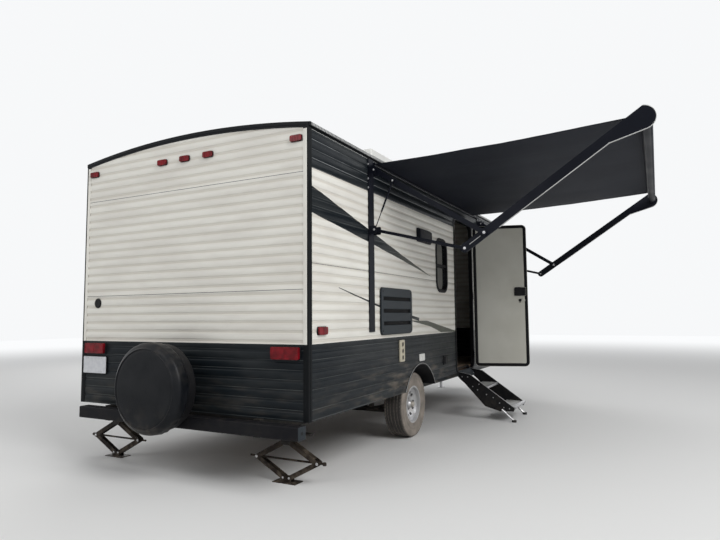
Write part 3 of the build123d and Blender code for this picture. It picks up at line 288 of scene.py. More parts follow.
def pearled(name, colour, other, rough, scale, depth=0.0004):
    # moulded or embossed panels, such as the door's inner skin and roof plastics
    finish = Finish(name)
    cloud = finish.ramp(finish.noise(2.5, 5), 0.3, 0.7)
    dimple = finish.node("TexVoronoi", None, {"Vector": finish.place(), "Scale": scale})
    finish.set(colour=finish.mix(cloud, colour, other), rough=cloud * 0.08 + rough)
    finish.bump(dimple, 0.25, depth)
    return finish.material


graphics = {
    "white": (0.76, 0.745, 0.69),
    "whiteShade": (0.69, 0.67, 0.62),
    "grooveShade": (0.54, 0.5, 0.435),  # painted shade in the hollows of the white ribs
    "dark": (0.008, 0.011, 0.014),
    "darkShade": (0.018, 0.021, 0.023),
    "ribHighlight": (0.17, 0.185, 0.185),  # a painted highlight along the upper edge of each dark rib
    # a brighter painted highlight on the dark ribs of the top band
    "topBandHighlight": (0.42, 0.44, 0.45),
    "faded": (0.13, 0.135, 0.11),
    "pitch": 0.071,
    "groove": 0.505,  # the height of one groove
    "lowerEdge": 1.053,
    "upperEdge": 2.355,
    "sideFrom": 1.2085,  # farther out than this, a point is on a side
    "sideSeam": 1.645,
    "rearSeams": (1.452, 2.32),
    "seamHalf": 0.0022,
    "dustAndSunPatches": (0.95, 0.5),  # where the dust near the wheels, partly painted patches of sunlight, begins and is full
    "wheelAlong": 2.0,
    # each figure's upper and lower edges, as (from the rear, height) points
    "longSwoosh": (((0.0, 2.231), (0.975, 2.013), (1.75, 1.842), (2.55, 1.677)),
                   ((0.0, 2.024), (0.975, 1.901), (1.75, 1.795), (2.55, 1.677))),
    "thinStripe": (((0.44, 1.482), (1.19, 1.349), (2.13, 1.231)),
                   ((0.44, 1.476), (1.19, 1.329), (2.13, 1.199))),
    "lowSwoosh": (((1.925, 1.205), (2.36, 1.198), (3.23, 1.077), (3.42, 1.053)),
                  ((1.925, 1.198), (2.43, 1.138), (2.795, 1.063), (3.42, 1.05))),
    # the white inner part of each rear corner strip, across and up
    "stripAcross": (1.175, 1.2087),
    "stripTop": 2.64,
}


def brokenLine(along, points):
    # a broken line's height at each distance along the side
    line = None
    for (s0, z0), (s1, z1) in zip(points, points[1:]):
        run = (along - s0) * ((z1 - z0) / (s1 - s0)) + z0
        if line is None:
            line = run
        else:
            after = along > s0
            line = line * (1 - after) + run * after
    return line


def stripe(along, height, upper, lower):
    inside = (along > upper[0][0]) * (along < upper[-1][0])
    return inside * (height < brokenLine(along, upper)) * (height > brokenLine(along, lower))


def sidingFinish(spec):
    finish = Finish("sidingPaint")
    x, y, z = finish.axes()
    along = x - rearWall
    onSide = abs(y) > spec["sideFrom"]
    longSwoosh, thinStripe, lowSwoosh = (
        stripe(along, z, *spec[key]) for key in ("longSwoosh", "thinStripe", "lowSwoosh"))
    topBand = z > spec["upperEdge"]
    figures = (longSwoosh + thinStripe + lowSwoosh + topBand).atMost(1.0) * onSide
    dark = (figures + (z < spec["lowerEdge"])).atMost(1.0)

    streaks = finish.ramp(finish.noise(5, 6, (0.35, 0.35, 1.4)), 0.38, 0.66)
    white = finish.mix(streaks, spec["white"], spec["whiteShade"])
    black = finish.mix(streaks, spec["dark"], spec["darkShade"])
    tips = finish.ramp(along, 1.1, 2.5) * onSide * (longSwoosh + lowSwoosh).atMost(1.0)
    black = finish.mix(tips * 0.8, black, spec["faded"])
    across = (z - spec["groove"]) % spec["pitch"] / spec["pitch"]  # 0 and 1 in a groove
    # painted shade towards each groove of the white ribs
    grooveShadeMask = finish.ramp(abs(across - 0.47), 0.2, 0.5)
    white = finish.mix(grooveShadeMask * 0.62, white, spec["grooveShade"])
    # a painted highlight along each dark rib's upper edge, broken up by noise and brighter in the top band
    highlightBreaks = finish.ramp(finish.noise(3, 3, (0.5, 0.5, 8)), 0.25, 0.75)
    edge = finish.ramp(abs(across - 0.115), 0.035, 0.012) * highlightBreaks
    black = finish.mix(edge * 0.75, black, finish.mix(topBand, spec["ribHighlight"], spec["topBandHighlight"]))
    colour = finish.mix(dark, white, black)

    seams = (abs(z - spec["sideSeam"]) < spec["seamHalf"]) * onSide
    for level in spec["rearSeams"]:
        seams = seams + (abs(z - level) < spec["seamHalf"]) * (1 - onSide)
    colour = finish.mix(seams.atMost(1.0), colour, tones["seam"])
    # dust low down near the wheel, partly standing in for painted patches of sunlight
    dustAndSunPatches = finish.ramp(z, *spec["dustAndSunPatches"]) * finish.ramp(finish.noise(7, 7, (0.6, 0.6, 2.6)), 0.45, 0.72)
    nearWheel = finish.ramp(abs(along - spec["wheelAlong"]), 1.5, 0.3) * 0.45 + 0.1
    colour = finish.mix(dustAndSunPatches * nearWheel, colour, tones["dust"])

    fine = finish.noise(260, 2)
    waves = finish.noise(7, 3, (1, 1, 2.5))
    crown = (across * (2 * math.pi) + math.pi / 2).sine()
    finish.set(colour=colour, rough=fine * 0.1 + dark * (-0.06) + 0.32, specular=0.1)
    finish.bump(waves * 0.9 + fine * 0.05 - crown * 0.5, 0.75, 0.004)
    return finish.material


def cornerFinish(spec):
    # black, with the inner part of each rear corner strip white above the dark band
    finish = Finish("cornerTrim")
    y, z = finish.axes()[1:]
    cloud = finish.ramp(finish.noise(3.0, 5), 0.35, 0.68)
    black = finish.mix(cloud, *tones["trim"])
    white = finish.mix(cloud, spec["white"], spec["whiteShade"])
    nearest, farthest = spec["stripAcross"]
    inner = (abs(y) < farthest) * (abs(y) > nearest) * (z > spec["lowerEdge"]) * (z < spec["stripTop"])
    fine = finish.noise(400, 3)
    finish.set(colour=finish.mix(inner, black, white), rough=fine * 0.16 + cloud * 0.1 + 0.29, specular=0.08)
    finish.bump(fine, 0.15, 0.0003)
    return finish.material


def tintedGlass():
    finish = Finish("tintedGlass")
    smear = finish.ramp(finish.noise(6, 4, (1, 1, 3)), 0.3, 0.8)
    finish.set(colour=tones["glass"], rough=smear * 0.06 + 0.03, coat=0.6, specular=0.7)
    finish.bump(finish.noise(2.2, 1), 0.12, 0.01)
    return finish.material


def lampLens(flute=0.012):
    finish = Finish("lampLens")
    x, y, z = finish.axes()
    flutes = (abs((y + x) % flute - flute / 2) + abs(z % flute - flute / 2)) * 80
    glow = finish.ramp(finish.noise(18, 2), 0.3, 0.7)
    finish.set(colour=finish.mix(glow, *tones["lens"]), rough=0.24, coat=0.1, coatRough=0.08, specular=0.15)
    finish.bump(flutes, 0.35, 0.0012)
    return finish.material


def clothFinish(panelWidth=0.8, seamHalf=0.01, threads=900):
    finish = Finish("awningCloth")
    x, y = finish.axes()[:2]
    weave = (x * threads).sine() * (y * threads).sine()
    cloud = finish.ramp(finish.noise(1.6, 5), 0.3, 0.7)
    seams = (abs((x + 3.425) % panelWidth - panelWidth / 2) < seamHalf) * 0.5
    colour = finish.mix((cloud * 0.6 + seams).atMost(1.0), *tones["cloth"])
    finish.set(colour=colour, rough=0.6, specular=0.09)
    finish.bump(weave * 0.5 + finish.noise(3.5, 2) * 8, 0.25, 0.0012)
    return finish.material


def plateFinish():
    finish = Finish("blankPlate")
    cloud = finish.ramp(finish.noise(30, 3), 0.3, 0.7)
    finish.set(colour=finish.mix(cloud, *tones["plate"]), rough=0.36, metal=0.15)
    finish.bump(finish.noise(120, 2), 0.1, 0.0004)
    return finish.material


def tyreFinish():
    finish = Finish("tyreRubber")
    flank = finish.ramp(abs(finish.facing()[1]), 0.25, 0.8)
    dusty = finish.ramp(finish.noise(9, 6), 0.25, 0.75) * 0.45 + 0.4
    fine = finish.noise(300, 4)
    finish.set(colour=finish.mix(dusty * (flank * 0.86 + 0.12), *tones["rubber"]), rough=fine * 0.2 + 0.62)
    finish.bump(fine, 0.3, 0.0006)
    return finish.material


paints = {
    "siding": sidingFinish(graphics),
    "blackTrim": coated("blackTrim", (0.006, 0.006, 0.007), (0.01, 0.01, 0.012), 0.42,
                        dust=0.05, specular=0.08),
    "cornerTrim": cornerFinish(graphics),
    "frame": coated("framePaint", (0.01, 0.01, 0.01), (0.02, 0.018, 0.017), 0.5, (0.3, 180, 0.0006),
                    dust=0.45, specular=0.14),
    "bumper": coated("bumperPaint", (0.006, 0.006, 0.008), (0.011, 0.011, 0.012), 0.45, (0.25, 160, 0.0005),
                     dust=0.12, specular=0.1),
    "stand": coated("standPaint", (0.013, 0.01, 0.009), (0.024, 0.018, 0.014), 0.55, (0.3, 150, 0.0006),
                    dust=0.35, specular=0.1),
    "bareSteel": coated("zincSteel", (0.56, 0.56, 0.57), (0.44, 0.44, 0.45), 0.32, (0.2, 350, 0.0003),
                        metal=0.85, dust=0.12),
    "tread": coated("treadPlate", (0.46, 0.46, 0.45), (0.34, 0.34, 0.33), 0.45, (0.5, 260, 0.0008),
                    metal=0.35, dust=0.2),
    "rim": coated("wheelSilver", (0.6, 0.6, 0.61), (0.48, 0.48, 0.48), 0.34, (0.12, 300, 0.0003),
                  metal=0.55, dust=0.5),
    "hub": coated("hubDust", (0.4, 0.36, 0.31), (0.52, 0.49, 0.45), 0.5, (0.3, 200, 0.0004),
                  metal=0.3, patch=14, dust=0.5),
    "cover": coated("coverVinyl", (0.005, 0.006, 0.008), (0.01, 0.011, 0.013), 0.34, (0.5, 420, 0.0006),
                    patch=5, dust=0.3, dustTop=0.66, specular=0.14),
    "blackPlastic": coated("blackPlastic", (0.008, 0.008, 0.009), (0.014, 0.014, 0.015), 0.46,
                           (0.35, 500, 0.0004), dust=0.08, specular=0.12),
    "slate": coated("slatePlastic", (0.022, 0.028, 0.033), (0.03, 0.036, 0.042), 0.44, (0.3, 420, 0.0004),
                    dust=0.06, specular=0.12),
    "lining": coated("wallLining", (0.06, 0.054, 0.048), (0.09, 0.08, 0.07), 0.55, (0.2, 200, 0.0004),
                     patch=1.5),
    "floorCore": coated("floorPlank", (0.14, 0.1, 0.07), (0.19, 0.14, 0.1), 0.5, (0.3, 160, 0.0004),
                        patch=4, stretch=(0.25, 3, 3)),
    "awningPaint": coated("awningPaint", (0.005, 0.006, 0.01), (0.01, 0.011, 0.016), 0.4,
                          (0.15, 320, 0.0002), specular=0.08),
    "whitePlastic": pearled("whitePlastic", (0.76, 0.76, 0.73), (0.68, 0.68, 0.65), 0.38, 320),
    "creamPlastic": pearled("creamPlastic", (0.56, 0.51, 0.39), (0.47, 0.43, 0.33), 0.4, 320),
    "roof": pearled("roofMembrane", (0.7, 0.7, 0.68), (0.6, 0.6, 0.58), 0.62, 160, 0.0006),
    "doorSkin": pearled("doorSkin", (0.57, 0.56, 0.5), (0.5, 0.49, 0.43), 0.42, 420, 0.0005),
    "cloth": clothFinish(),
    "glass": tintedGlass(),
    "lens": lampLens(),
    "plate": plateFinish(),
    "tyre": tyreFinish(),
}

# the CAD nodes that wear each paint; the rest are parts of the stands
paintedNodes = {
    "siding": "siding hatch_right hatch_left wall_front",
    "lining": "wall_rear wall_left wall_right",
    "floorCore": "floor",
    "roof": "roof",
    "cornerTrim": "edge_trims",
    "blackTrim": "door_frame window_frames",
    "glass": "window_glass",
    "doorSkin": "entry_door",
    "frame": "chassis coupler axle springs jack_tube",
    "bumper": "bumper",
    "bareSteel": "jack_ram step_legs",
    "blackPlastic": "wheel_wells spare_wheel gas_cover battery_box steps",
    "rim": "rim_right rim_left",
    "tyre": "tyre_right tyre_left",
    "cover": "spare_cover",
    "slate": "fridge_vent",
    "creamPlastic": "side_fittings",
    "whitePlastic": "roof_vent roof_vent_lid fridge_cap air_conditioner",
    "lens": "lamps",
    "plate": "number_plate",
    "awningPaint": "awning_base awning_upper_arms awning_outer_arms awning_lower_arms"
                   " strut_barrels strut_rods awning_roller",
    "cloth": "awning_fabric",
}
nodePaints = {name: paint for paint, names in paintedNodes.items() for name in names.split()}
for nodeName, node in nodes.items():
    node.data.materials.clear()
    node.data.materials.append(paints[nodePaints.get(nodeName, "stand")])
print("finishes made:", len(paints))


# Mesh helpers

door = {"hinge": (-2.103, -1.237), "swing": 107.2}


def onSide(side):  # along from the rear, up, and out of the skin
    return lambda u, v, w: Vector((rearWall + u, side * (halfWidth + w), v))


def onRear(u, v, w):  # across, up, and out of the rear face
    return Vector((rearWall - w, u, v))


def onDoor(u, v, w):  # from the hinge, up, and towards the inner face
    turn = math.radians(door["swing"])
    x = door["hinge"][0] - u * math.cos(turn) - w * math.sin(turn)
    y = door["hinge"][1] - u * math.sin(turn) + w * math.cos(turn)
    return Vector((x, y, v))


def onRight(x, points):  # (out, up) points of one cut across the right side
    return [Vector((x, -out, up)) for out, up in points]


right, left = onSide(-1), onSide(1)
rightOut, leftOut, rearOut, upOut, forward = (0, -1, 0), (0, 1, 0), (-1, 0, 0), (0, 0, 1), (1, 0, 0)


def addPiece(name, mesh, paint, body, angle=35, replaced=()):
    mesh.materials.clear()
    mesh.materials.append(paints[paint])
    mesh.polygons.foreach_set("use_smooth", [True] * len(mesh.polygons))
    mesh.set_sharp_from_angle(angle=math.radians(angle))
    piece = addToScene(name, mesh)
    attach(piece, body)
    if replaced:
        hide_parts(*replaced)
    return piece


def meshOf(shape, name="shape"):
    mesh = bpy.data.meshes.new(name)
    shape.to_mesh(mesh)
    shape.free()
    return mesh


def finishPiece(name, shape, paint, body="caravan", angle=35, replaced=()):
    bmesh.ops.remove_doubles(shape, verts=shape.verts, dist=0.00002)
    bmesh.ops.recalc_face_normals(shape, faces=shape.faces)
    return addPiece(name, meshOf(shape, name), paint, body, angle, replaced)


def joined(meshes):
    shape = bmesh.new()
    for mesh in meshes:
        shape.from_mesh(mesh)
    return shape


def steps(low, high, gap):
    count = max(1, round((high - low) / gap))
    return [low + (high - low) * k / count for k in range(count + 1)]


def tilt(degrees, axis):
    return Matrix.Rotation(math.radians(degrees), 3, axis)


def grown(size, more):
    return [side + more for side in size]


def moved(points, across, up):
    return [(across + a, up + b) for a, b in points]


def circle(radius, count):
    turns = [2 * math.pi * k / count for k in range(count)]
    return [(radius * math.cos(t), radius * math.sin(t)) for t in turns]


def halfRound(width, height):
    return [(width * a, height * b) for a, b in ((-0.5, 0), (-0.36, 0.7), (0, 1), (0.36, 0.7), (0.5, 0))]


def bar(low, high, half):
    return [(low, -half), (high, -half), (high, half), (low, half)]


def roundedOutline(width, height, corner, count=6):
    points = []
    for cx, cy, start in ((1, 1, 0), (-1, 1, 90), (-1, -1, 180), (1, -1, 270)):
        for k in range(count + 1):
            turn = math.radians(start + 90 * k / count)
            points.append((cx * (width / 2 - corner) + corner * math.cos(turn),
                           cy * (height / 2 - corner) + corner * math.sin(turn)))
    return points


def inset(size, corner, less):
    return roundedOutline(size[0] - 2 * less, size[1] - 2 * less, max(corner - less, 0.0005))


def lathe(shape, profile, centre, axis, count=24, loop=False):
    # profile holds (distance along the axis, radius) pairs
    axis = Vector(axis).normalized()
    across = axis.orthogonal().normalized()
    other = axis.cross(across)
    rings = []
    for along, radius in profile:
        middle = Vector(centre) + axis * along
        turns = [2 * math.pi * k / count for k in range(count)] if radius > 1e-6 else [0]
        spokes = [math.cos(t) * across + math.sin(t) * other for t in turns]
        rings.append([shape.verts.new(middle + radius * spoke) for spoke in spokes])
    for low, high in zip(rings, rings[1:] + (rings[:1] if loop else [])):
        for k in range(count):
            around = ((low, k), (low, k + 1), (high, k + 1), (high, k))
            corners = list(dict.fromkeys(row[j % len(row)] for row, j in around))
            if len(corners) > 2:
                shape.faces.new(corners)


def loft(shape, rows, closed):
    # faces from each row of vertices to the next
    for first, second in zip(rows, rows[1:] + (rows[:1] if closed else [])):
        for k in range(len(first)):
            shape.faces.new((first[k - 1], first[k], second[k], second[k - 1]))
    if not closed:
        shape.faces.new(rows[0])
        shape.faces.new(rows[-1])


def loftLevels(shape, place, at, levels, closed):
    rows = [[shape.verts.new(place(at[0] + a, at[1] + b, w)) for a, b in points] for points, w in levels]
    loft(shape, rows, closed)


def panel(shape, place, at, size, corner, depth, bevel=0.002):
    # a rounded plate whose outer edge is chamfered
    low, high = depth
    outer = inset(size, corner, 0)
    levels = ((outer, low), (outer, high - bevel), (inset(size, corner, bevel), high))
    loftLevels(shape, place, at, levels, False)


def ring(shape, place, at, size, corner, band, depth, bevel=0.0015):
    # a rounded frame of one band's width round an opening
    low, high = depth
    outer, inner = inset(size, corner, 0), inset(size, corner, band)
    levels = ((outer, low), (outer, high - bevel), (inset(size, corner, bevel), high),
              (inset(size, corner, band - bevel), high), (inner, high - bevel), (inner, low))
    loftLevels(shape, place, at, levels, True)


def block(shape, centre, size, bevel=0.003, turn=None):
    made = bmesh.ops.create_cube(shape, size=1)["verts"]
    bmesh.ops.scale(shape, vec=size, verts=made)
    edges = list({e for v in made for e in v.link_edges})
    soft = bmesh.ops.bevel(shape, geom=edges, offset=bevel, segments=2, profile=0.5, affect="EDGES")
    made = [v for v in soft["verts"] if v.is_valid]
    if turn:
        bmesh.ops.rotate(shape, cent=(0, 0, 0), matrix=turn, verts=made)
    bmesh.ops.translate(shape, vec=centre, verts=made)


def bead(shape, path, out, section, closed=False):
    # one section, as (across, out) pairs, swept along a path
    out = Vector(out).normalized()
    rows = []
    for k, point in enumerate(path):
        before = path[k - 1] if k or closed else point
        after = path[(k + 1) % len(path)] if k + 1 < len(path) or closed else point
        across = (Vector(after) - Vector(before)).cross(out).normalized()
        rows.append([shape.verts.new(Vector(point) + a * across + h * out) for a, h in section])
    loft(shape, rows, closed)


# Node trees that repeat a shape

class Tree:  # a geometry tree with named inputs
    def __init__(self, name, inputs):
        self.group = bpy.data.node_groups.new(name, "GeometryNodeTree")
        face = self.group.interface
        face.new_socket("Geometry", in_out="INPUT", socket_type="NodeSocketGeometry")
        for key, kind in inputs.items():
            face.new_socket(key, in_out="INPUT", socket_type="NodeSocket" + kind)
        face.new_socket("Geometry", in_out="OUTPUT", socket_type="NodeSocketGeometry")
        self.given = self.group.nodes.new("NodeGroupInput").outputs
        self.end = self.group.nodes.new("NodeGroupOutput")

    def node(self, kind, settings=None, sockets=None):
        made = self.group.nodes.new(kind)
        for key, value in (settings or {}).items():
            setattr(made, key, value)
        for key, value in (sockets or {}).items():
            if isinstance(value, bpy.types.NodeSocket):
                self.group.links.new(value, made.inputs[key])
            else:
                made.inputs[key].default_value = value
        return made.outputs[0]

    def repeat(self, points, shape, sockets=None):
        given = {"Points": points, "Instance": shape, **(sockets or {})}
        placed = self.node("GeometryNodeInstanceOnPoints", None, given)
        real = self.node("GeometryNodeRealizeInstances", None, {0: placed})
        painted = self.node("GeometryNodeSetMaterial", None, {0: real, "Material": self.given["finish"]})
        self.group.links.new(painted, self.end.inputs[0])

    def apply(self, mesh, paint, **values):
        values["finish"] = paints[paint]
        source = addToScene("source", mesh)
        modifier = source.modifiers.new("repeat", "NODES")
        modifier.node_group = self.group
        for item in self.group.interface.items_tree:
            if item.item_type == "SOCKET" and item.in_out == "INPUT" and item.name in values:
                modifier[item.identifier] = values[item.name]
        shown = source.evaluated_get(bpy.context.evaluated_depsgraph_get())
        made = bpy.data.meshes.new_from_object(shown)
        bpy.data.objects.remove(source)
        return made


def makeHeadTree():  # a domed screw head on its washer at each point, facing outward
    tree = Tree("screwHeads", {"headRadius": "Float", "headHeight": "Float", "finish": "Material"})
    radius = tree.given["headRadius"]
    dome = tree.node("GeometryNodeMeshUVSphere", None, {"Segments": 12, "Rings": 6, "Radius": 1.0})
    washer = tree.node("GeometryNodeMeshCylinder", None, {"Vertices": 14, "Radius": 1.35, "Depth": 0.35})
    head = tree.node("GeometryNodeJoinGeometry", None, {0: dome})
    tree.group.links.new(washer, head.node.inputs[0])
    outward = tree.node("GeometryNodeInputNamedAttribute", {"data_type": "FLOAT_VECTOR"}, {"Name": "outward"})
    turn = tree.node("FunctionNodeAlignRotationToVector", {"axis": "Z"}, {"Vector": outward})
    size = tree.node("ShaderNodeCombineXYZ", None, {0: radius, 1: radius, 2: tree.given["headHeight"]})
    tree.repeat(tree.given[0], head, {"Rotation": turn, "Scale": size})
    return tree


def makeRingTree():  # the given mesh, drawn about the origin, repeated round an axis
    tree = Tree("ringOfPieces", {"count": "Int", "axis": "Vector", "centre": "Vector", "finish": "Material"})
    count = tree.given["count"]
    points = tree.node("GeometryNodePoints", None, {"Count": count, "Position": tree.given["centre"]})
    index = tree.node("GeometryNodeInputIndex")
    share = tree.node("ShaderNodeMath", {"operation": "DIVIDE"}, {0: index, 1: count})
    angle = tree.node("ShaderNodeMath", {"operation": "MULTIPLY"}, {0: share, 1: 2 * math.pi})
    turn = tree.node("FunctionNodeAxisAngleToRotation", None, {"Axis": tree.given["axis"], "Angle": angle})
    tree.repeat(points, tree.given[0], {"Rotation": turn})
    return tree


def makeRowTree():  # the given mesh repeated at even steps
    tree = Tree("rowOfPieces", {"count": "Int", "start": "Vector", "step": "Vector", "finish": "Material"})
    run = {"Count": tree.given["count"], "Start Location": tree.given["start"], "Offset": tree.given["step"]}
    tree.repeat(tree.node("GeometryNodeMeshLine", {"mode": "OFFSET"}, run), tree.given[0])
    return tree


headTree = makeHeadTree()
ringTree = makeRingTree()
rowTree = makeRowTree()


def screwRow(name, spots, radius, height, body="caravan", paint="bareSteel"):
    # spots holds (place, outward direction) pairs
    mesh = bpy.data.meshes.new(name)
    mesh.from_pydata([tuple(place) for place, _ in spots], [], [])
    outward = mesh.attributes.new("outward", "FLOAT_VECTOR", "POINT")
    outward.data.foreach_set("vector", [c for _, way in spots for c in Vector(way).normalized()])
    made = headTree.apply(mesh, paint, headRadius=radius, headHeight=height)
    return addPiece(name, made, paint, body)


def spread(place, at, across, up, raised, out):
    # a screw at each pairing of the offsets across and up
    return [(place(at[0] + a, at[1] + b, raised), out) for a in across for b in up]


# Road wheels

wheel = {
    "centre": (rearWall + 2.155, 1.035, 0.3315),
    "radius": 0.3282,
    "width": 0.205,
    "bead": 0.182,
    "turns": 124,
    "grooves": (-0.052, -0.019, 0.019, 0.052),
    "grooveHalf": 0.0045,
    "grooveDepth": 0.0075,
    "shoulder": (0.024, 0.0015),
    # the side wall's points, in from the side and down from the crown
    "wall": ((0.01, 0.008), (0.004, 0.02), (0.0035, 0.03), (0.001, 0.034), (0.0, 0.06), (0.0015, 0.062),
             (0.0015, 0.085), (0.0, 0.087), (0.003, 0.11), (0.0075, 0.125), (0.0065, 0.13)),
    "pitches": 62,
    # each lug's place across, drop, length in pitches, width, height, bevel, slant and lean in degrees
    "lugs": ((0.086, 0.0085, 0.62, 0.02, 0.015, 0.0016, 8, -32),
             (0.0355, 0.0022, 0.7, 0.0235, 0.005, 0.0008, 18, 0),
             (0.0665, 0.0022, 0.66, 0.02, 0.005, 0.0008, -12, 0)),
    "hub": ((0.06, 0), (0.06, 0.0295), (0.088, 0.0285), (0.094, 0.0255), (0.097, 0.018), (0.0985, 0)),
}


def tyreProfile(spec):
    half, radius, bead = spec["width"] / 2, spec["radius"], spec["bead"]
    floor = radius - spec["grooveDepth"]
    inward, down = spec["shoulder"]
    crown = [(-half + inward, radius - down)]
    for middle in spec["grooves"]:
        for offset, height in ((-1.3, radius), (-1, floor), (1, floor), (1.3, radius)):
            crown.append((middle + offset * spec["grooveHalf"], height))
    crown.append((half - inward, radius - down))
    wall = [(half - a, radius - b) for a, b in spec["wall"]]
    wall += [(half - 0.012, bead + 0.004), (half - 0.022, bead)]
    return crown + wall + [(0, bead)] + [(-a, r) for a, r in reversed(wall)]


def treadPitch(spec):
    # the lugs of one pitch, standing on the crown
    shape = bmesh.new()
    arc = 2 * math.pi * spec["radius"] / spec["pitches"]
    for side in (-1, 1):
        for across, drop, share, width, height, bevel, slant, lean in spec["lugs"]:
            block(shape, (0, side * across, spec["radius"] - drop), (arc * share, width, height), bevel,
                  tilt(side * lean, "X") @ tilt(side * slant, "Z"))
    block(shape, (arc * 0.25, 0, spec["radius"] - 0.002), (arc * 0.72, 0.027, 0.005), 0.0008, tilt(25, "Z"))
    return shape


for sideName, side in (("right", -1), ("left", 1)):
    x, y, z = wheel["centre"]
    centre, body = (x, side * y, z), "wheel_" + sideName
    carcass, cap = bmesh.new(), bmesh.new()
    lathe(carcass, tyreProfile(wheel), centre, leftOut, wheel["turns"], True)
    pitch = meshOf(treadPitch(wheel))
    tread = ringTree.apply(pitch, "tyre", count=wheel["pitches"], centre=centre, axis=leftOut)
    tyre = joined([meshOf(carcass), tread])
    finishPiece("roadTyre_" + sideName, tyre, "tyre", body, angle=40, replaced=["tyre_" + sideName])
    lathe(cap, wheel["hub"], centre, (0, side, 0), 40)
    finishPiece("hubCap_" + sideName, cap, "hub", body)
print("road wheels made")


# Spare wheel's cover

cover = {
    "centre": (-6.4235, 0.0, 0.72),
    "radius": 0.3478,
    "faceOut": 0.112,  # how far the face stands behind the centre
    "hemIn": -0.012,
    "bulge": 0.006,
    "face": (0, 0.05, 0.1, 0.15, 0.2, 0.24, 0.27, 0.288),
    # the piping and shoulder, as (behind the face, radius)
    "shoulder": ((-0.0005, 0.2945), (0.0025, 0.2965), (0.0055, 0.2995), (0.0055, 0.3035), (0.0025, 0.3065),
                 (-0.0015, 0.3085), (-0.005, 0.315), (-0.012, 0.326), (-0.021, 0.3375), (-0.031, 0.3445),
                 (-0.04, 0.3478)),
    "band": (0.062, 0.048, 0.034, 0.02, 0.008),
    # the gathered hem, as (behind its edge, in from the radius)
    "hem": ((0.012, 0.002), (0.002, 0.008), (-0.002, 0.016), (-0.004, 0.03), (-0.001, 0.032), (0.004, 0.016),
            (0.012, 0.0085)),
    "turns": 180,
    "puckers": 34,
    "puckerDepth": 0.0022,
    "slack": 0.0035,
    "droop": 0.003,
    "dimple": 0.003,
    "dimpleReach": 0.31,
}


def coverProfile(spec):
    radius, out, hem = spec["radius"], spec["faceOut"], spec["hemIn"]
    face = [(out + spec["bulge"] * (1 - (r / radius) ** 2), r) for r in spec["face"]]
    shoulder = [(out + behind, r) for behind, r in spec["shoulder"]]
    band = [(along, radius) for along in spec["band"]]
    return face + shoulder + band + [(hem + behind, radius - inward) for behind, inward in spec["hem"]]


def share(value, low, span):
    return max(0.0, min(1.0, (value - low) / span))


def makeCover(spec):
    shape = bmesh.new()
    lathe(shape, coverProfile(spec), spec["centre"], rearOut, spec["turns"])
    bmesh.ops.remove_doubles(shape, verts=shape.verts, dist=0.00002)
    middle = Vector(spec["centre"])
    for vert in shape.verts:
        rel = vert.co - middle
        radial = Vector((0, rel.y, rel.z))
        reach = radial.length
        if reach < 1e-6:
            continue
        turn = math.atan2(rel.z, rel.y)
        onBand = share(reach, 0.335, 0.012)
        nearHem = share(rel.x, -0.07, 0.07)
        pucker = spec["puckerDepth"] * nearHem * math.sin(turn * spec["puckers"] + 1.3 * math.sin(3 * turn))
        slack = spec["slack"] * noise.noise(Vector((math.cos(turn) * 2.2, math.sin(turn) * 2.2, rel.x * 9)))
        droop = spec["droop"] * max(0.0, -math.sin(turn)) * nearHem
        vert.co += radial.normalized() * (onBand * (pucker + slack - 0.002) + droop * onBand)
        if reach < spec["dimpleReach"]:
            dimple = spec["dimple"] * noise.noise(Vector((rel.y * 4, rel.z * 4, 3.0)))
            vert.co.x -= dimple * (1 - reach / spec["dimpleReach"])
    finishPiece("spareCoverSkin", shape, "cover", angle=60, replaced=["spare_cover"])


makeCover(cover)
print("spare wheel's cover made")


# Awning cloth

rollerLow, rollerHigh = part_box("awning_roller")
cloth = {
    "low": rearWall + 1.07,
    "high": rearWall + 4.1,
    "rail": (-1.2405, 2.619),
    "roller": ((rollerLow[1] + rollerHigh[1]) / 2, (rollerLow[2] + rollerHigh[2]) / 2),
    "rollerRadius": 0.0392,
    "wrapEnd": -50,  # degrees, where the cloth leaves the view under the roller
    "wrapRows": 12,
    "sag": 0.024,
    "flutter": (0.005, 0.0022),
    "rows": 72,
    "columns": 96,
    "thickness": 0.0012,
}


def clothPath(spec):
    # points as (out, up, share of the way from the rail to the roller)
    railY, railZ = spec["rail"]
    rollerY, rollerZ = spec["roller"]
    radius, wraps = spec["rollerRadius"], spec["wrapRows"]
    path = []
    for k in range(spec["rows"] + 1):
        t = k / spec["rows"]
        path.append((railY + (rollerY - railY) * t, railZ + (rollerZ + radius - railZ) * t, t))
    for k in range(1, wraps + 1):
        turn = math.radians(90 + (90 - spec["wrapEnd"]) * k / wraps)
        path.append((rollerY + radius * math.cos(turn), rollerZ + radius * math.sin(turn), 1.0))
    return path


def makeCloth(spec):
    path = clothPath(spec)
    wide, narrow = spec["flutter"]
    shape = bmesh.new()
    grid = []
    for y, z, t in path:
        free = math.sin(math.pi * t) if t < 1 else 0.0
        line = []
        for k in range(spec["columns"] + 1):
            x = spec["low"] + (spec["high"] - spec["low"]) * k / spec["columns"]
            edge = min(k, spec["columns"] - k) / spec["columns"]
            flutter = wide * noise.noise(Vector((x * 0.9, y * 2.4, 1.7)))
            flutter += narrow * noise.noise(Vector((x * 1.5, y * 7.0, 9.0)))
            sag = spec["sag"] * free * (0.75 + 0.25 * math.sin(math.pi * min(1, 4 * edge)))
            line.append(shape.verts.new((x, y, z - sag + flutter * free)))
        grid.append(line)
    for first, second in zip(grid, grid[1:]):
        for k in range(spec["columns"]):
            shape.faces.new((first[k], first[k + 1], second[k + 1], second[k]))
    piece = finishPiece("awningSheet", shape, "cloth", angle=60, replaced=["awning_fabric"])
    solid = piece.modifiers.new("thickness", "SOLIDIFY")
    solid.thickness = spec["thickness"]
    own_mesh(piece)


makeCloth(cloth)
print("awning cloth made")


# Mouldings along the body's edges

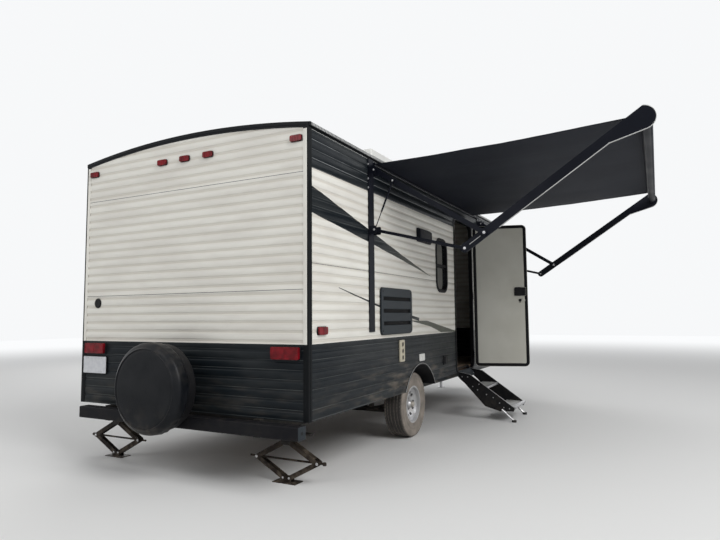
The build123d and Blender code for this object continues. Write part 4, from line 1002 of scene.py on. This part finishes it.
moulding = {
    "width": 0.017,
    "height": 0.0022,
    "on": 0.004,  # the trims' own thickness
    "sideLine": ((0.021, 0.508), (0.021, 2.667), (5.2507, 2.667), (5.4739, 1.309), (5.4782, 1.272),
                 (5.479, 1.2475), (5.479, 0.508)),
    "rearStrip": 1.2,
    "rearRun": (0.508, 2.655),
    "crown": 2.782,
    "crownRadius": 7.951,
    "crownDrop": 0.0225,
    "crownReach": 1.196,
    "gutterMiddle": 2.6765,
    "gutterOut": 0.016,
    "gutterRun": (0.02, 5.24),
    "gutterSection": ((-0.011, 0), (-0.0105, 0.0012), (0.0105, 0.0012), (0.011, 0)),
    "tick": (0.007, 0.0012, 0.019),
    "tickOut": 0.0172,
    "tickGap": 0.021,
}


def crownHeight(y):
    return moulding["crown"] - moulding["crownRadius"] + math.sqrt(moulding["crownRadius"] ** 2 - y * y)


strips, ledge, ticks = bmesh.new(), bmesh.new(), []
section = halfRound(moulding["width"], moulding["height"])
on, level, reach = moulding["on"], moulding["gutterMiddle"], moulding["crownReach"]
low, high = moulding["gutterRun"]
gap = moulding["tickGap"]
for side in (-1, 1):
    place, out = onSide(side), (0, side, 0)
    strip = [onRear(side * moulding["rearStrip"], v, on) for v in moulding["rearRun"]]
    line = [place(u, level, moulding["gutterOut"]) for u in (low, high)]
    bead(strips, [place(u, v, on) for u, v in moulding["sideLine"]], out, section)
    bead(strips, strip, rearOut, section)
    bead(ledge, line, out, moulding["gutterSection"])
    tick = bmesh.new()
    block(tick, (0, 0, 0), moulding["tick"], 0.0003)
    start = place(low + 0.01, level, moulding["tickOut"])
    count = round((high - low) / gap)
    ticks.append(rowTree.apply(meshOf(tick), "blackTrim", count=count, start=start, step=(gap, 0, 0)))
crown = [onRear(y, crownHeight(y) - moulding["crownDrop"], on) for y in steps(-reach, reach, 0.1)]
bead(strips, crown, rearOut, section)
finishPiece("trimMoulding", strips, "cornerTrim")
finishPiece("gutterStrip", ledge, "tread")
finishPiece("gutterTicks", joined(ticks), "slate")
print("mouldings made")


# Windows

windows = {
    # side, rear and front edge, bottom, top and corner
    "panes": ((-1, 2.67, 3.02, 1.535, 2.132, 0.11), (1, 2.9, 3.9, 1.4, 2.1, 0.06),
              (1, 4.55, 5.05, 1.45, 2.05, 0.06)),
    "glassIn": 0.016,
    "outerGasket": (0.048, 0.016, 0.004, (0.0075, 0.0105)),  # wider by, corner, band and depth
    "innerGasket": (0.002, -0.007, 0.006, (0.004, 0.0095)),
    "sash": 0.014,
    "sashDepth": (-0.021, -0.01),
    "catch": (0.03, 0.008, 0.016),
}

gaskets, sashes = bmesh.new(), bmesh.new()
for side, low, high, bottom, top, corner in windows["panes"]:
    place, middle = onSide(side), ((low + high) / 2, (bottom + top) / 2)
    size = (high - low - windows["glassIn"], top - bottom - windows["glassIn"])
    for wider, rounder, band, depth in (windows["outerGasket"], windows["innerGasket"]):
        ring(gaskets, place, middle, grown(size, wider), corner + rounder, band, depth)
    half = (size[1] - 0.022) / 2
    ring(sashes, place, (middle[0], middle[1] - 0.011 - half / 2), grown((size[0], half), -0.004),
         min(corner - 0.012, 0.09), windows["sash"], windows["sashDepth"])
    block(sashes, place(low + windows["catch"][0], middle[1], 0.004), windows["catch"], 0.002)
finishPiece("windowGaskets", gaskets, "blackPlastic")
finishPiece("windowSashes", sashes, "blackTrim")
print("windows made")


# Entry door

doorParts = {
    "middle": (0.3555, 1.514),
    "size": (0.6998, 1.8708),
    "edge": (0.0604, 0.041, (0.0056, 0.0446), 0.004),  # corner, band, depth and bevel
    "skinLess": 0.084,
    "skinCorner": 0.018,
    "skinDepths": ((0.0385, 0.0425), (-0.0055, -0.0015)),  # the inner one's and the outer one's
    "latch": (0.609, 1.56),
    "outerLatch": (0.64, 1.56),
    "bolt": (0.645, 1.445),
    "knob": (0.604, 1.447),
    "rose": ((0, 0.0246), (0.0165, 0.0246), (0.0188, 0.0225), (0.0194, 0.016), (0.0194, 0)),
    "innerKnob": ((0, 0.0185), (0.006, 0.0175), (0.01, 0.014), (0.01, 0)),
    "outerKnob": ((0, 0.018), (0.006, 0.017), (0.008, 0.012), (0.008, 0)),
    "pastSquare": 17,  # degrees that the open door has swung past a right angle
    "hinges": (0.739, 1.514, 2.289),
    "hingeAlong": 4.061,
}


def onDoorOut(u, v, w):  # the door's outer face
    return onDoor(u, v, 0.006 - w)


edge, skins, latch, rose, knob = (bmesh.new() for k in range(5))
middle, size, square = doorParts["middle"], doorParts["size"], tilt(doorParts["pastSquare"], "Z")
ring(edge, onDoor, middle, size, *doorParts["edge"])
size = grown(size, -doorParts["skinLess"])
for place, depth in zip((onDoor, onDoorOut), doorParts["skinDepths"]):
    panel(skins, place, middle, size, doorParts["skinCorner"], depth, bevel=0.0025)
finishPiece("doorEdge", edge, "blackTrim", "entry_door", angle=50)
finishPiece("doorPanels", skins, "doorSkin", "entry_door")

u, v = doorParts["latch"]
panel(latch, onDoor, (u, v), (0.149, 0.113), corner=0.012, depth=(0.0425, 0.0618), bevel=0.004)
ring(latch, onDoor, (u - 0.016, v), (0.086, 0.084), corner=0.01, band=0.005, depth=(0.0613, 0.0645))
block(latch, onDoor(u + 0.048, v, 0.064), (0.01, 0.022, 0.072), turn=square)
u, v = doorParts["outerLatch"]
panel(latch, onDoorOut, (u, v), (0.09, 0.15), corner=0.014, depth=(0.0, 0.01), bevel=0.004)
ring(latch, onDoorOut, (u, v + 0.012), (0.066, 0.098), corner=0.012, band=0.006, depth=(0.0095, 0.015))
block(latch, onDoorOut(u + 0.002, v + 0.012, 0.016), (0.012, 0.04, 0.074), turn=square)
finishPiece("doorLatch", latch, "blackPlastic", "entry_door")

inward = onDoor(0, 0, 1) - onDoor(0, 0, 0)
lathe(rose, doorParts["rose"], onDoor(*doorParts["bolt"], 0.0425), inward, 32)
inner = onDoor(*doorParts["knob"], 0.042)
lathe(knob, doorParts["innerKnob"], inner, inward, 28)
block(knob, inner + inward * 0.013 - Vector((0, 0, 0.01)), (0.009, 0.01, 0.046), bevel=0.002, turn=square)
lathe(knob, doorParts["outerKnob"], onDoorOut(*doorParts["bolt"], 0.0), -inward)
finishPiece("boltRose", rose, "doorSkin", "entry_door")
finishPiece("boltKnob", knob, "blackPlastic", "entry_door")

hingeScrews = []
for level in doorParts["hinges"]:
    hingeScrews += spread(right, (doorParts["hingeAlong"], level), (0,), (-0.03, 0, 0.03), 0.015, rightOut)
screwRow("hingeScrews", hingeScrews, 0.0035, 0.0018)
print("entry door made")


# Fold-up steps; their points are (out, up) pairs

stepParts = {
    "middle": -2.468,
    "halfWidth": 0.28,
    "plate": 0.008,
    "edge": ((1.191, 0.562), (1.36, 0.532), (1.895, 0.158)),
    "treads": ((1.56, 0.389), (1.871, 0.171)),
    "depth": 0.203,
    # sections of a tread's nosing and of one rib, from its front or middle and its top
    "nosing": ((0.0022, -0.026), (0.0022, 0.002), (-0.03, 0.002), (-0.03, 0.0002), (0.0002, 0.0002),
               (0.0002, -0.026)),
    "skin": (0.0002, 0.0012, 0.031),  # from and to above the tread, and short of its front
    "rib": ((-0.0028, 0.001), (0, 0.003), (0.0028, 0.001)),
    "ribs": (0.014, 0.0185, 9),  # the first from the back, the gap and the count
    "apron": ((1.1925, 0.5615), (1.2415, 0.5232), (1.266, 0.4785), (1.26, 0.4755), (1.236, 0.518),
              (1.187, 0.556)),
    "apronScrews": (0.225, -1.256, 0.503),
    "bolts": ((1.215, 0.548), (1.262, 0.5), (1.33, 0.5), (1.392, 0.388), (1.452, 0.35), (1.47, 0.418),
              (1.56, 0.3), (1.64, 0.268), (1.715, 0.208), (1.764, 0.158), (1.83, 0.15)),
    "lip": ((1.88, 0.146), (1.9, 0.146), (1.904, 0.15), (1.904, 0.172), (1.9, 0.1755), (1.868, 0.1755),
            (1.868, 0.172), (1.88, 0.168)),
    "legTop": (1.745, 0.135),
    "legEnd": (1.885, 0.012),
    "legOut": 0.015,
    "foot": ((0, 0.0255), (0.002, 0.0285), (0.017, 0.0285), (0.022, 0.025), (0.026, 0.0165), (0.026, 0)),
    "collar": ((0, 0.0122), (0, 0.0155), (0.02, 0.0155), (0.02, 0.0122)),
}

edges, nosings, treadSkin, shield, feet, collars = (bmesh.new() for k in range(6))
middle, half, plate = stepParts["middle"], stepParts["halfWidth"], stepParts["plate"]
(y0, z0), (y1, z1) = stepParts["legTop"], stepParts["legEnd"]
stepBolts = []
for end in (-1, 1):
    x = middle + end * (half - plate / 2)
    bead(edges, onRight(x, stepParts["edge"]), forward, bar(-0.0018, 0.0022, plate / 2 + 0.0008))
    stepBolts += [((middle + end * half, -y, z), (end, 0, 0)) for y, z in stepParts["bolts"]]
    x = middle + end * (half + stepParts["legOut"])
    lathe(feet, stepParts["foot"], (x, -y1, 0.0002), upOut, 28)
    lathe(collars, stepParts["collar"], (x, -y0 - 0.024, z0 - 0.021), (0, y0 - y1, z1 - z0), loop=True)
ends = [(middle - half + plate, 0, 0), (middle + half - plate, 0, 0)]
low, high, short = stepParts["skin"]
first, gap, count = stepParts["ribs"]
for front, top in stepParts["treads"]:
    back, face = front - stepParts["depth"], front - short
    bead(nosings, ends, upOut, moved(stepParts["nosing"], front, top))
    skin = ((back, low), (back, high), (face, high), (face, low))
    bead(treadSkin, ends, upOut, moved(skin, 0, top))
    for k in range(count):
        bead(treadSkin, ends, upOut, moved(stepParts["rib"], back + first + k * gap, top))
bead(shield, ends, upOut, stepParts["apron"])
bead(nosings, [(middle - half, 0, 0), (middle + half, 0, 0)], upOut, stepParts["lip"])
finishPiece("treadPlates", treadSkin, "tread", "steps")
finishPiece("stepApron", shield, "slate", "steps")
finishPiece("stepEdges", joined([meshOf(edges), meshOf(nosings)]), "bareSteel", "steps")
finishPiece("legFeet", feet, "blackPlastic", "step_legs")
finishPiece("legCollars", collars, "bareSteel", "step_legs")
reach, y, z = stepParts["apronScrews"]
apronScrews = [((middle + dx, y, z), (0, -0.88, 0.47)) for dx in (-reach, reach)]
screwRow("stepBolts", stepBolts + apronScrews, 0.005, 0.0026, "steps")
print("steps made")


# Fridge vent: slate slats over dark slots

vent = {
    "middle": (1.535, 1.2975),
    "size": (0.71, 0.425),
    "corner": 0.04,
    "frame": 0.04,
    "slats": ((1.143, 0.052), (1.243, 0.082), (1.357, 0.08), (1.4555, 0.052)),  # height and width of each
    "slatLess": 0.076,
    "slots": (1.185, 1.3, 1.413),
    "slotGap": 0.01,
    "slotLess": 0.085,
    "slotLean": -28,
    "depth": 0.02,
    "catches": ((-0.325, 0.325), (-0.18, 0.18)),
}

slats, dark = bmesh.new(), bmesh.new()
middle, size, corner, depth = vent["middle"], vent["size"], vent["corner"], vent["depth"]
ring(slats, right, middle, size, corner, vent["frame"], (0.0, depth), bevel=0.003)
for level, tall in vent["slats"]:
    slat = (size[0] - vent["slatLess"], tall)
    panel(slats, right, (middle[0], level), slat, 0.004, (0.004, depth - 0.0006), bevel=0.0035)
# the black sheet behind the slats and the black slot blocks are painted shade of the vent's openings; the
# ring round the vent is its black border
panel(dark, right, middle, grown(size, -0.02), corner - 0.01, (0.0, 0.004))
ring(dark, right, middle, grown(size, 0.009), corner + 0.004, band=0.012, depth=(0.0, 0.0075))
slot, lean = (size[0] - vent["slotLess"], 0.009, 0.0022), tilt(vent["slotLean"], "X")
for level in vent["slots"]:
    for k in (-1, 0, 1):
        block(dark, right(middle[0], level + k * vent["slotGap"], 0.009), slot, 0.0006, lean)
finishPiece("fridgeVentSlats", slats, "slate", angle=40, replaced=["fridge_vent"])
finishPiece("fridgeVentDark", dark, "blackPlastic")
catches = spread(right, middle, *vent["catches"], depth, rightOut)
screwRow("ventCatches", catches, 0.0075, 0.0035, paint="blackPlastic")
print("fridge vent made")


# Small fittings on the sides and rear

fittings = {
    # each panel's piece, side, middle, size, corner, depth and bevel
    "panels": (
        ("furnaceVent", right, (1.6505, 0.916), (0.111, 0.21), 0.012, (0.0, 0.014), 0.004),
        ("whiteCovers", right, (2.18, 0.818), (0.14, 0.074), 0.008, (0.0, 0.008), 0.003),
        ("whiteCovers", right, (2.178, 0.814), (0.0868, 0.04884), 0.006, (0.004, 0.014), 0.003),
        ("blackCovers", right, (2.905, 0.739), (0.13, 0.108), 0.01, (0.0, 0.011), 0.004),
        ("blackCovers", right, (2.905, 0.739), (0.091, 0.08424), 0.012, (0.004, 0.022), 0.006),
        ("speakerBox", right, (2.275, 2.1075), (0.38, 0.145), 0.014, (0.0, 0.022), 0.004),
        ("speakerBox", right, (2.275, 2.1075), (0.3572, 0.1276), 0.016, (0.004, 0.04), 0.01),
        ("whiteCovers", left, (3.24, 0.83), (0.38, 0.38), 0.016, (0.0, 0.016), 0.004),
    ),
    "speakerRim": ((2.275, 2.1075), (0.3116, 0.0957), 0.014, 0.006, (0.039, 0.0425)),
    # each row of slots: side, lowest place, gap, count, size and bevel
    "slots": ((right, (2.275, 2.0675, 0.0395), 0.008, 11, (0.2964, 0.0022, 0.0034), 0.0007),
              (left, (3.24, 0.87, 0.016), 0.014, 8, (0.266, 0.0016, 0.006), 0.0006)),
    "ports": ((1.6505, 0.852), (1.6505, 0.916), (1.6505, 0.98)),
    "portRim": ((0, 0.028), (0.004, 0.027), (0.006, 0.023), (0.004, 0.021), (0, 0.021)),
    "portHole": ((0.0012, 0.0205), (0.0016, 0.017), (0.0016, 0)),
    "furnaceScrews": ((-0.045, 0.045), (-0.095, 0.095)),
    "caps": ((1.375, 0.835), (0.775, 0.835), (0.375, 0.835)),
    "cap": ((0, 0.058), (0.006, 0.056), (0.01, 0.05), (0.0135, 0.046), (0.0135, 0)),
    "capScrews": (-0.065, 0.065),
    "rearCapAt": (1.03, 1.389, 0.0),
    "rearCap": ((0, 0.043), (0.004, 0.043), (0.0075, 0.039), (0.0085, 0.031), (0.0075, 0.027), (0.009, 0)),
}

names = ("furnaceVent", "whiteCovers", "blackCovers", "speakerBox", "coverHollows")
shapes = {name: bmesh.new() for name in names}
for name, place, at, size, corner, depth, bevel in fittings["panels"]:
    panel(shapes[name], place, at, size, corner, depth, bevel)
ring(shapes["speakerBox"], right, *fittings["speakerRim"])
# the black strips in the slots and the black discs in the furnace ports are painted shade of the openings
for place, (u, v, w), gap, count, size, bevel in fittings["slots"]:
    for k in range(count):
        block(shapes["coverHollows"], place(u, v + gap * k, w), size, bevel)
for at in fittings["ports"]:
    lathe(shapes["furnaceVent"], fittings["portRim"], right(*at, 0.013), rightOut, 28, True)
    lathe(shapes["coverHollows"], fittings["portHole"], right(*at, 0.0135), rightOut)
lathe(shapes["blackCovers"], fittings["rearCap"], onRear(*fittings["rearCapAt"]), rearOut, 40)
coverScrews = spread(right, (1.6505, 0.916), *fittings["furnaceScrews"], 0.014, rightOut)
offsets = fittings["capScrews"]
for at in fittings["caps"]:
    panel(shapes["whiteCovers"], left, at, (0.15, 0.15), corner=0.012, depth=(0.0, 0.01), bevel=0.003)
    lathe(shapes["whiteCovers"], fittings["cap"], left(*at, 0.008), leftOut, 36)
    coverScrews += spread(left, at, offsets, offsets, 0.01, leftOut)
finishPiece("furnaceVent", shapes["furnaceVent"], "creamPlastic", replaced=["side_fittings"])
finishPiece("whiteCovers", shapes["whiteCovers"], "whitePlastic")
finishPiece("blackCovers", shapes["blackCovers"], "blackPlastic")
finishPiece("speakerBox", shapes["speakerBox"], "awningPaint")
finishPiece("coverHollows", shapes["coverHollows"], "blackPlastic")
screwRow("coverScrews", coverScrews, 0.0035, 0.0018)
print("small fittings made")


# Storage hatches

hatch = {
    "middle": (5.065, 0.825),
    "size": (0.53, 0.37),
    "corner": 0.04,
    "band": 0.02,
    "latches": (4.895, 5.235),
    "latchLevel": 0.685,
    "latchSize": (0.0606, 0.0166, 0.0266),
    "lock": ((0, 0.011), (0.002, 0.011), (0.0032, 0.0098), (0.0032, 0)),
}

for sideName, side in (("right", -1), ("left", 1)):
    place, body = onSide(side), "hatch_" + sideName
    shape, locks = bmesh.new(), bmesh.new()
    ring(shape, place, hatch["middle"], hatch["size"], hatch["corner"], hatch["band"], (0.0055, 0.0085))
    for u in hatch["latches"]:
        block(shape, place(u, hatch["latchLevel"], 0.006), hatch["latchSize"])
        lathe(locks, hatch["lock"], place(u, hatch["latchLevel"], 0.014), (0, side, 0))
    finishPiece("hatchBorder_" + sideName, shape, "blackTrim", body)
    finishPiece("hatchLocks_" + sideName, locks, "bareSteel", body)
print("hatches made")


# Lamps' bases and ribs, and the plate's frame

lampRows = {
    "tail": (0.99, 0.245, 0.09, 0.034),  # height of the lamp, width, height and depth
    "tailPlaces": (-1.03, 1.03),
    "marker": (2.575, 0.1, 0.046, 0.02),
    "markerPlaces": (-1.115, -0.255, 0.0, 0.255, 1.115),
    "markerRibs": (-0.024, 0, 0.024),
    "sideMarker": (0.176, 1.148, 0.124, 0.058, 0.022),
    "plate": (1.04, 0.842, 0.305, 0.152),
    "plateScrews": ((-0.089, 0.089), (-0.06, 0.06)),
}


def lensRib(place, at, width, tall, depth, proud):
    panel(lenses, place, at, (width, tall), corner=0.001, depth=(depth - 0.001, depth + proud), bevel=0.0008)


bases, lenses = bmesh.new(), bmesh.new()
z, width, height, depth = lampRows["tail"]
for y in lampRows["tailPlaces"]:
    ring(bases, onRear, (y, z), grown((width, height), 0.01), corner=0.015, band=0.007, depth=(0.0, 0.014))
    ring(lenses, onRear, (y, z), grown((width, height), -0.012), corner=0.01, band=0.004,
         depth=(depth - 0.001, depth + 0.0025))
    lensRib(onRear, (y, z), 0.0035, height - 0.014, depth, 0.0022)
z, width, height, depth = lampRows["marker"]
for y in lampRows["markerPlaces"]:
    ring(bases, onRear, (y, z), grown((width, height), 0.006), corner=0.014, band=0.005, depth=(0.0, 0.009))
    for dy in lampRows["markerRibs"]:
        lensRib(onRear, (y + dy, z), 0.003, height - 0.01, depth, 0.002)
u, v, width, height, depth = lampRows["sideMarker"]
for place in (right, left):
    ring(bases, place, (u, v), grown((width, height), 0.006), corner=0.016, band=0.005, depth=(0.0, 0.009))
    lensRib(place, (u, v), 0.003, height - 0.01, depth, 0.002)
y, z, width, height = lampRows["plate"]
ring(bases, onRear, (y, z), grown((width, height), 0.008), corner=0.015, band=0.007, depth=(0.008, 0.0135))
finishPiece("lampBases", bases, "blackPlastic")
finishPiece("lensRibs", lenses, "lens")
screwRow("plateScrews", spread(onRear, (y, z), *lampRows["plateScrews"], 0.011, rearOut), 0.0045, 0.0022)
print("lamps made")


# Awning hardware; the arms' points are (out, up) pairs

awning = {
    "sets": ((-5.14, 1), (-1.74, -1)),  # how far along each set stands, and which way is inward
    "topPivot": (1.277, 2.537),
    "lowPivot": (1.277, 2.006),
    "elbow": (2.2362, 1.9117),
    "tail": (2.0675, 1.7978),
    "ahead": (0.8287, 0.5597),  # along the outer arm
    "flare": (3.1602, 2.5358),
    "capMiddle": (3.4028, 2.6572),
    "strutPin": (1.4529, 2.4223),
    "armHalf": 0.037,
    "capRadius": 0.088,
    "pastElbow": 0.12,
    "slotShares": (0.25, 0.8),
    # each bolt's arm, pin, distance inward and the way that it faces
    "bolts": (("upper", "elbow", -0.018, -1), ("outer", "elbow", 0.018, 1), ("lower", "tail", 0.039, 1),
              ("outer", "tail", 0.003, -1), ("strut", "strutPin", -0.0395, -1)),
    # each arm's row of bolts, head radius and height, and body
    "boltRows": {"upper": ("upperArmBolts", 0.0085, 0.0045, "awning_upper"),
                 "outer": ("outerArmBolts", 0.0085, 0.002, "awning_outer"),
                 "lower": ("lowerArmBolts", 0.0075, 0.004, "awning_lower"),
                 "strut": ("strutBolts", 0.0065, 0.003, "strut_barrels")},
    "channel": (1.115, 2.645),
    "channelGap": 0.16,
    "channelEdge": 0.032,
    "bracketBolts": (0.05, 0.18, 0.26),  # down from the channel's top
    "rail": (1.062, 4.358, 2.618),
    "railSection": ((-0.011, 0), (-0.009, 0.004), (-0.003, 0.005), (0.003, 0.0015), (0.006, 0.0045),
                    (0.011, 0.003), (0.0125, 0)),
}


def capLine(spec):  # the outer arm's lower edge and the rim of its end
    half, radius = spec["armHalf"], spec["capRadius"]
    ahead = Vector(spec["ahead"]).normalized()
    below = Vector((ahead.y, -ahead.x))
    flare, cap = Vector(spec["flare"]), Vector(spec["capMiddle"])
    span = cap - flare
    lean = (radius - half) / span.length
    onward = span.normalized()
    side = Vector((onward.y, -onward.x))
    normal = side * math.sqrt(1 - lean * lean) - onward * lean
    elbow = Vector(spec["elbow"]) + ahead * spec["pastElbow"]
    points = [elbow + below * half, flare + below * half, flare + normal * half]
    start = math.atan2(normal.y, normal.x)
    end = math.atan2(ahead.y, ahead.x) + math.asin((half + 0.4 * radius) / radius)
    for turn in steps(start, end, 0.12):
        points.append(cap + radius * Vector((math.cos(turn), math.sin(turn))))
    return points


armEdgeHighlights, railLip, railLine = (bmesh.new() for k in range(3))
bolts = {arm: [] for arm in awning["boltRows"]}
fixedBolts, channelScrews = [], []
armEdge = capLine(awning)
slot = [Vector(awning["tail"]).lerp(Vector(awning["elbow"]), along) for along in awning["slotShares"]]
for x, inward in awning["sets"]:
    # light metal strips along the arms' edges and slot: painted highlights of the lit edges
    bead(armEdgeHighlights, onRight(x + inward * 0.0105, armEdge), forward, bar(-0.001, 0.0012, 0.0078))
    bead(armEdgeHighlights, onRight(x + inward * 0.003, armEdge), (-inward, 0, 0), halfRound(0.005, 0.0007))
    bead(armEdgeHighlights, onRight(x + inward * 0.003, slot), (-inward, 0, 0), halfRound(0.005, 0.0008))
    for u, z in (awning["topPivot"], awning["lowPivot"]):
        fixedBolts += [((x + way * 0.05, -u, z), (way, 0, 0)) for way in (-1, 1)]
    for arm, pin, reach, way in awning["bolts"]:
        u, z = awning[pin]
        bolts[arm].append(((x + inward * reach, -u, z), (way * inward, 0, 0)))
    low, high = awning["channel"]
    sides = [x + way * awning["channelEdge"] for way in (-1, 1)]
    for z in steps(low + 0.03, high - 0.03, awning["channelGap"]):
        channelScrews += [((edge, -halfWidth - 0.01, z), rightOut) for edge in sides]
    fixedBolts += [((x - 0.05, -halfWidth - 0.004, high - down), rearOut) for down in awning["bracketBolts"]]
low, high, level = awning["rail"]
bead(railLip, [right(u, level, 0.02) for u in (low, high)], rightOut, awning["railSection"])
bead(railLine, [right(u, level - 0.0135, 0.0185) for u in (low, high)], rightOut, halfRound(0.0022, 0.002))
finishPiece("armEdgeHighlights", armEdgeHighlights, "tread", "awning_outer")
finishPiece("railLip", railLip, "awningPaint")
finishPiece("railLine", railLine, "bareSteel")
screwRow("pivotBolts", fixedBolts, 0.0075, 0.004)
for arm, (name, radius, height, body) in awning["boltRows"].items():
    screwRow(name, bolts[arm], radius, height, body)
screwRow("channelScrews", channelScrews, 0.0048, 0.0024, paint="awningPaint")
print("awning hardware made")


# Rear stands and bumper

stands = {
    "x": -5.92,
    "places": (("right", -0.88), ("left", 1.000)),
    "armPins": ((0.028, 0.3), (0.2781, 0.1675)),  # out from the middle, and up
    "footPin": (0.028, 0.035),
    "armReach": 0.0265,
    "footReach": 0.0255,
}


def rivets(reach, pins):  # a head fore and aft on each pin
    return [((stands["x"] + way * reach, y, z), (way, 0, 0)) for y, z in pins for way in (-1, 1)]


for name, y in stands["places"]:
    outward = 1 if y > 0 else -1
    body = "stand_" + name
    for arm, side in (("a", outward), ("b", -outward)):
        pins = [(y + side * across, up) for across, up in stands["armPins"]]
        screwRow("standRivets_" + name + "_" + arm, rivets(stands["armReach"], pins), 0.0085, 0.0035,
                 body + "_upper_" + arm)
    across, up = stands["footPin"]
    pins = [(y + side * across, up) for side in (-1, 1)]
    screwRow("footRivets_" + name, rivets(stands["footReach"], pins), 0.007, 0.003, body + "_foot")

bumperEnds = {
    "middle": (-6.2505, 0.4505),
    "size": (0.0945, 0.0945),
    "ends": ((-1, 1.228), (1, 1.04)),
    "thick": 0.0022,
    "plug": ((0, 0.012), (0.001, 0.012), (0.001, 0)),
}


def onBumperEnd(side, reach):
    return lambda u, v, w: Vector((u, side * (reach + w), v))


plates, plugs = bmesh.new(), bmesh.new()
middle, size, thick = bumperEnds["middle"], bumperEnds["size"], bumperEnds["thick"]
for side, reach in bumperEnds["ends"]:
    place = onBumperEnd(side, reach)
    panel(plates, place, middle, size, corner=0.008, depth=(0.0, thick), bevel=0.0015)
    lathe(plugs, bumperEnds["plug"], place(*middle, thick), (0, side, 0))
finishPiece("bumperEndPlates", plates, "slate")
finishPiece("bumperPlugs", plugs, "blackPlastic")
print("stands and bumper made")


# Wheel arches' edge line

arch = {"centre": (2.155, 0.3015), "radius": 0.4565, "start": 26.9, "section": (0.006, 0.003), "on": 0.0035}

archLine = bmesh.new()
(u, v), radius = arch["centre"], arch["radius"]
turns = steps(math.radians(arch["start"]), math.radians(180 - arch["start"]), 0.05)
for side in (-1, 1):
    path = [onSide(side)(u + radius * math.cos(t), v + radius * math.sin(t), arch["on"]) for t in turns]
    bead(archLine, path, (0, side, 0), halfRound(*arch["section"]))
finishPiece("archLines", archLine, "tread")
print("arches made")


# Roof pieces

roofParts = {
    # first place, size, bevel, lean, gap and count
    "coolerSlots": ((-3.15, 0.3258, 2.915), (0.011, 0.006, 0.12), 0.002, 9, 0.03, 16),
    "capTicks": ((-4.79, -1.0775, 2.77), (0.012, 0.006, 0.045), 0.0015, -5, 0.025, 20),
    "lidRidges": (-0.09, 0.0, 0.09),
    "lidRun": (-5.5, -5.2, 2.8965),
    "collar": (-5.35, 0.198, 2.788),
    "collarLong": (-0.17, -0.06, 0.06, 0.17),
    "collarShort": (-0.12, 0.0, 0.12),
}


def roofSlots(spec, side=1):
    (x, y, z), size, bevel, lean, gap, count = spec
    slot = bmesh.new()
    block(slot, (0, 0, 0), size, bevel, tilt(side * lean, "X"))
    return rowTree.apply(meshOf(slot), "blackPlastic", count=count, start=(x, side * y, z), step=(gap, 0, 0))


cooler, cap = roofParts["coolerSlots"], roofParts["capTicks"]
slots = [roofSlots(cooler, -1), roofSlots(cooler), roofSlots(cap)]
finishPiece("roofSlots", joined(slots), "blackPlastic")
ridges = bmesh.new()
low, high, level = roofParts["lidRun"]
for y in roofParts["lidRidges"]:
    bead(ridges, [(low, y, level), (high, y, level)], upOut, halfRound(0.02, 0.005))
finishPiece("lidRidges", ridges, "whitePlastic", "vent_lid")
x, reach, z = roofParts["collar"]
spots = [((x + along, side * reach, z), upOut) for along in roofParts["collarLong"] for side in (-1, 1)]
spots += [((x + side * reach, across, z), upOut) for across in roofParts["collarShort"] for side in (-1, 1)]
screwRow("collarScrews", spots, 0.0045, 0.0022)
print("roof pieces made")


# Tongue: jack head and crank, coupler latch, straps

tongue = {
    "jackTop": (0.0, 0.0, 1.025),
    "jackCap": ((-0.004, 0.03), (-0.004, 0.0345), (0.004, 0.0355), (0.01, 0.033), (0.014, 0.02),
                (0.015, 0)),
    "crank": ((0.0, -0.03, 1.000), (0.0, -0.075, 1.000), (0.0, -0.088, 0.99), (0.0, -0.092, 0.975),
              (0.0, -0.092, 0.86)),
    "crankRadius": 0.0065,
    "gripFoot": (0.0, -0.092, 0.78),
    "grip": ((0, 0), (0, 0.012), (0.006, 0.014), (0.08, 0.0125), (0.086, 0.009), (0.086, 0)),
    "couplerLatch": ((0.13, 0.0, 0.556), (0.165, 0.0, 0.572), (0.225, 0.0, 0.574)),
    "couplerBolts": ((0.1, 0.46), (0.14, 0.46)),
    "couplerHalf": 0.083,
    "gasMiddle": -0.42,
    "gasSize": (0.324, 0.634, 0.147),
    "gasSeam": 0.61,
    "gasTop": 0.981,
    "gasKnob": ((0, 0.045), (0.006, 0.044), (0.012, 0.02), (0.026, 0.016), (0.03, 0.01), (0.03, 0)),
    "battery": -0.158,
    "straps": (-0.09, 0.09),
    "strapTop": (0.741, (0.15, 0.026, 0.003)),
    "strapSide": (0.64, (0.003, 0.026, 0.18)),
    "strapHalf": 0.0775,
}

steel, dark, gas, battery = (bmesh.new() for k in range(4))
lathe(dark, tongue["jackCap"], tongue["jackTop"], upOut, 36)
bead(steel, tongue["crank"], forward, circle(tongue["crankRadius"], 12))
lathe(dark, tongue["grip"], tongue["gripFoot"], upOut)
bead(dark, tongue["couplerLatch"], leftOut, bar(-0.003, 0.003, 0.016))
x = tongue["gasMiddle"]
outline = [(x + a, b, tongue["gasSeam"]) for a, b in roundedOutline(*tongue["gasSize"], 12)]
bead(gas, outline, upOut, bar(-0.006, 0.006, 0.007), True)
lathe(gas, tongue["gasKnob"], (x, 0, tongue["gasTop"]), upOut, 32)
x = tongue["battery"]
for y in tongue["straps"]:
    level, size = tongue["strapTop"]
    block(battery, (x, y, level), size, bevel=0.001)
    level, size = tongue["strapSide"]
    for side in (-1, 1):
        block(battery, (x + side * tongue["strapHalf"], y, level), size, bevel=0.001)
finishPiece("crankRod", steel, "bareSteel")
finishPiece("tongueFittings", dark, "frame")
finishPiece("gasCoverSeam", gas, "blackPlastic")
finishPiece("batteryStraps", battery, "slate")
half = tongue["couplerHalf"]
spots = [((x, side * half, z), (0, side, 0)) for x, z in tongue["couplerBolts"] for side in (-1, 1)]
screwRow("couplerBolts", spots, 0.009, 0.006)
print("tongue made")
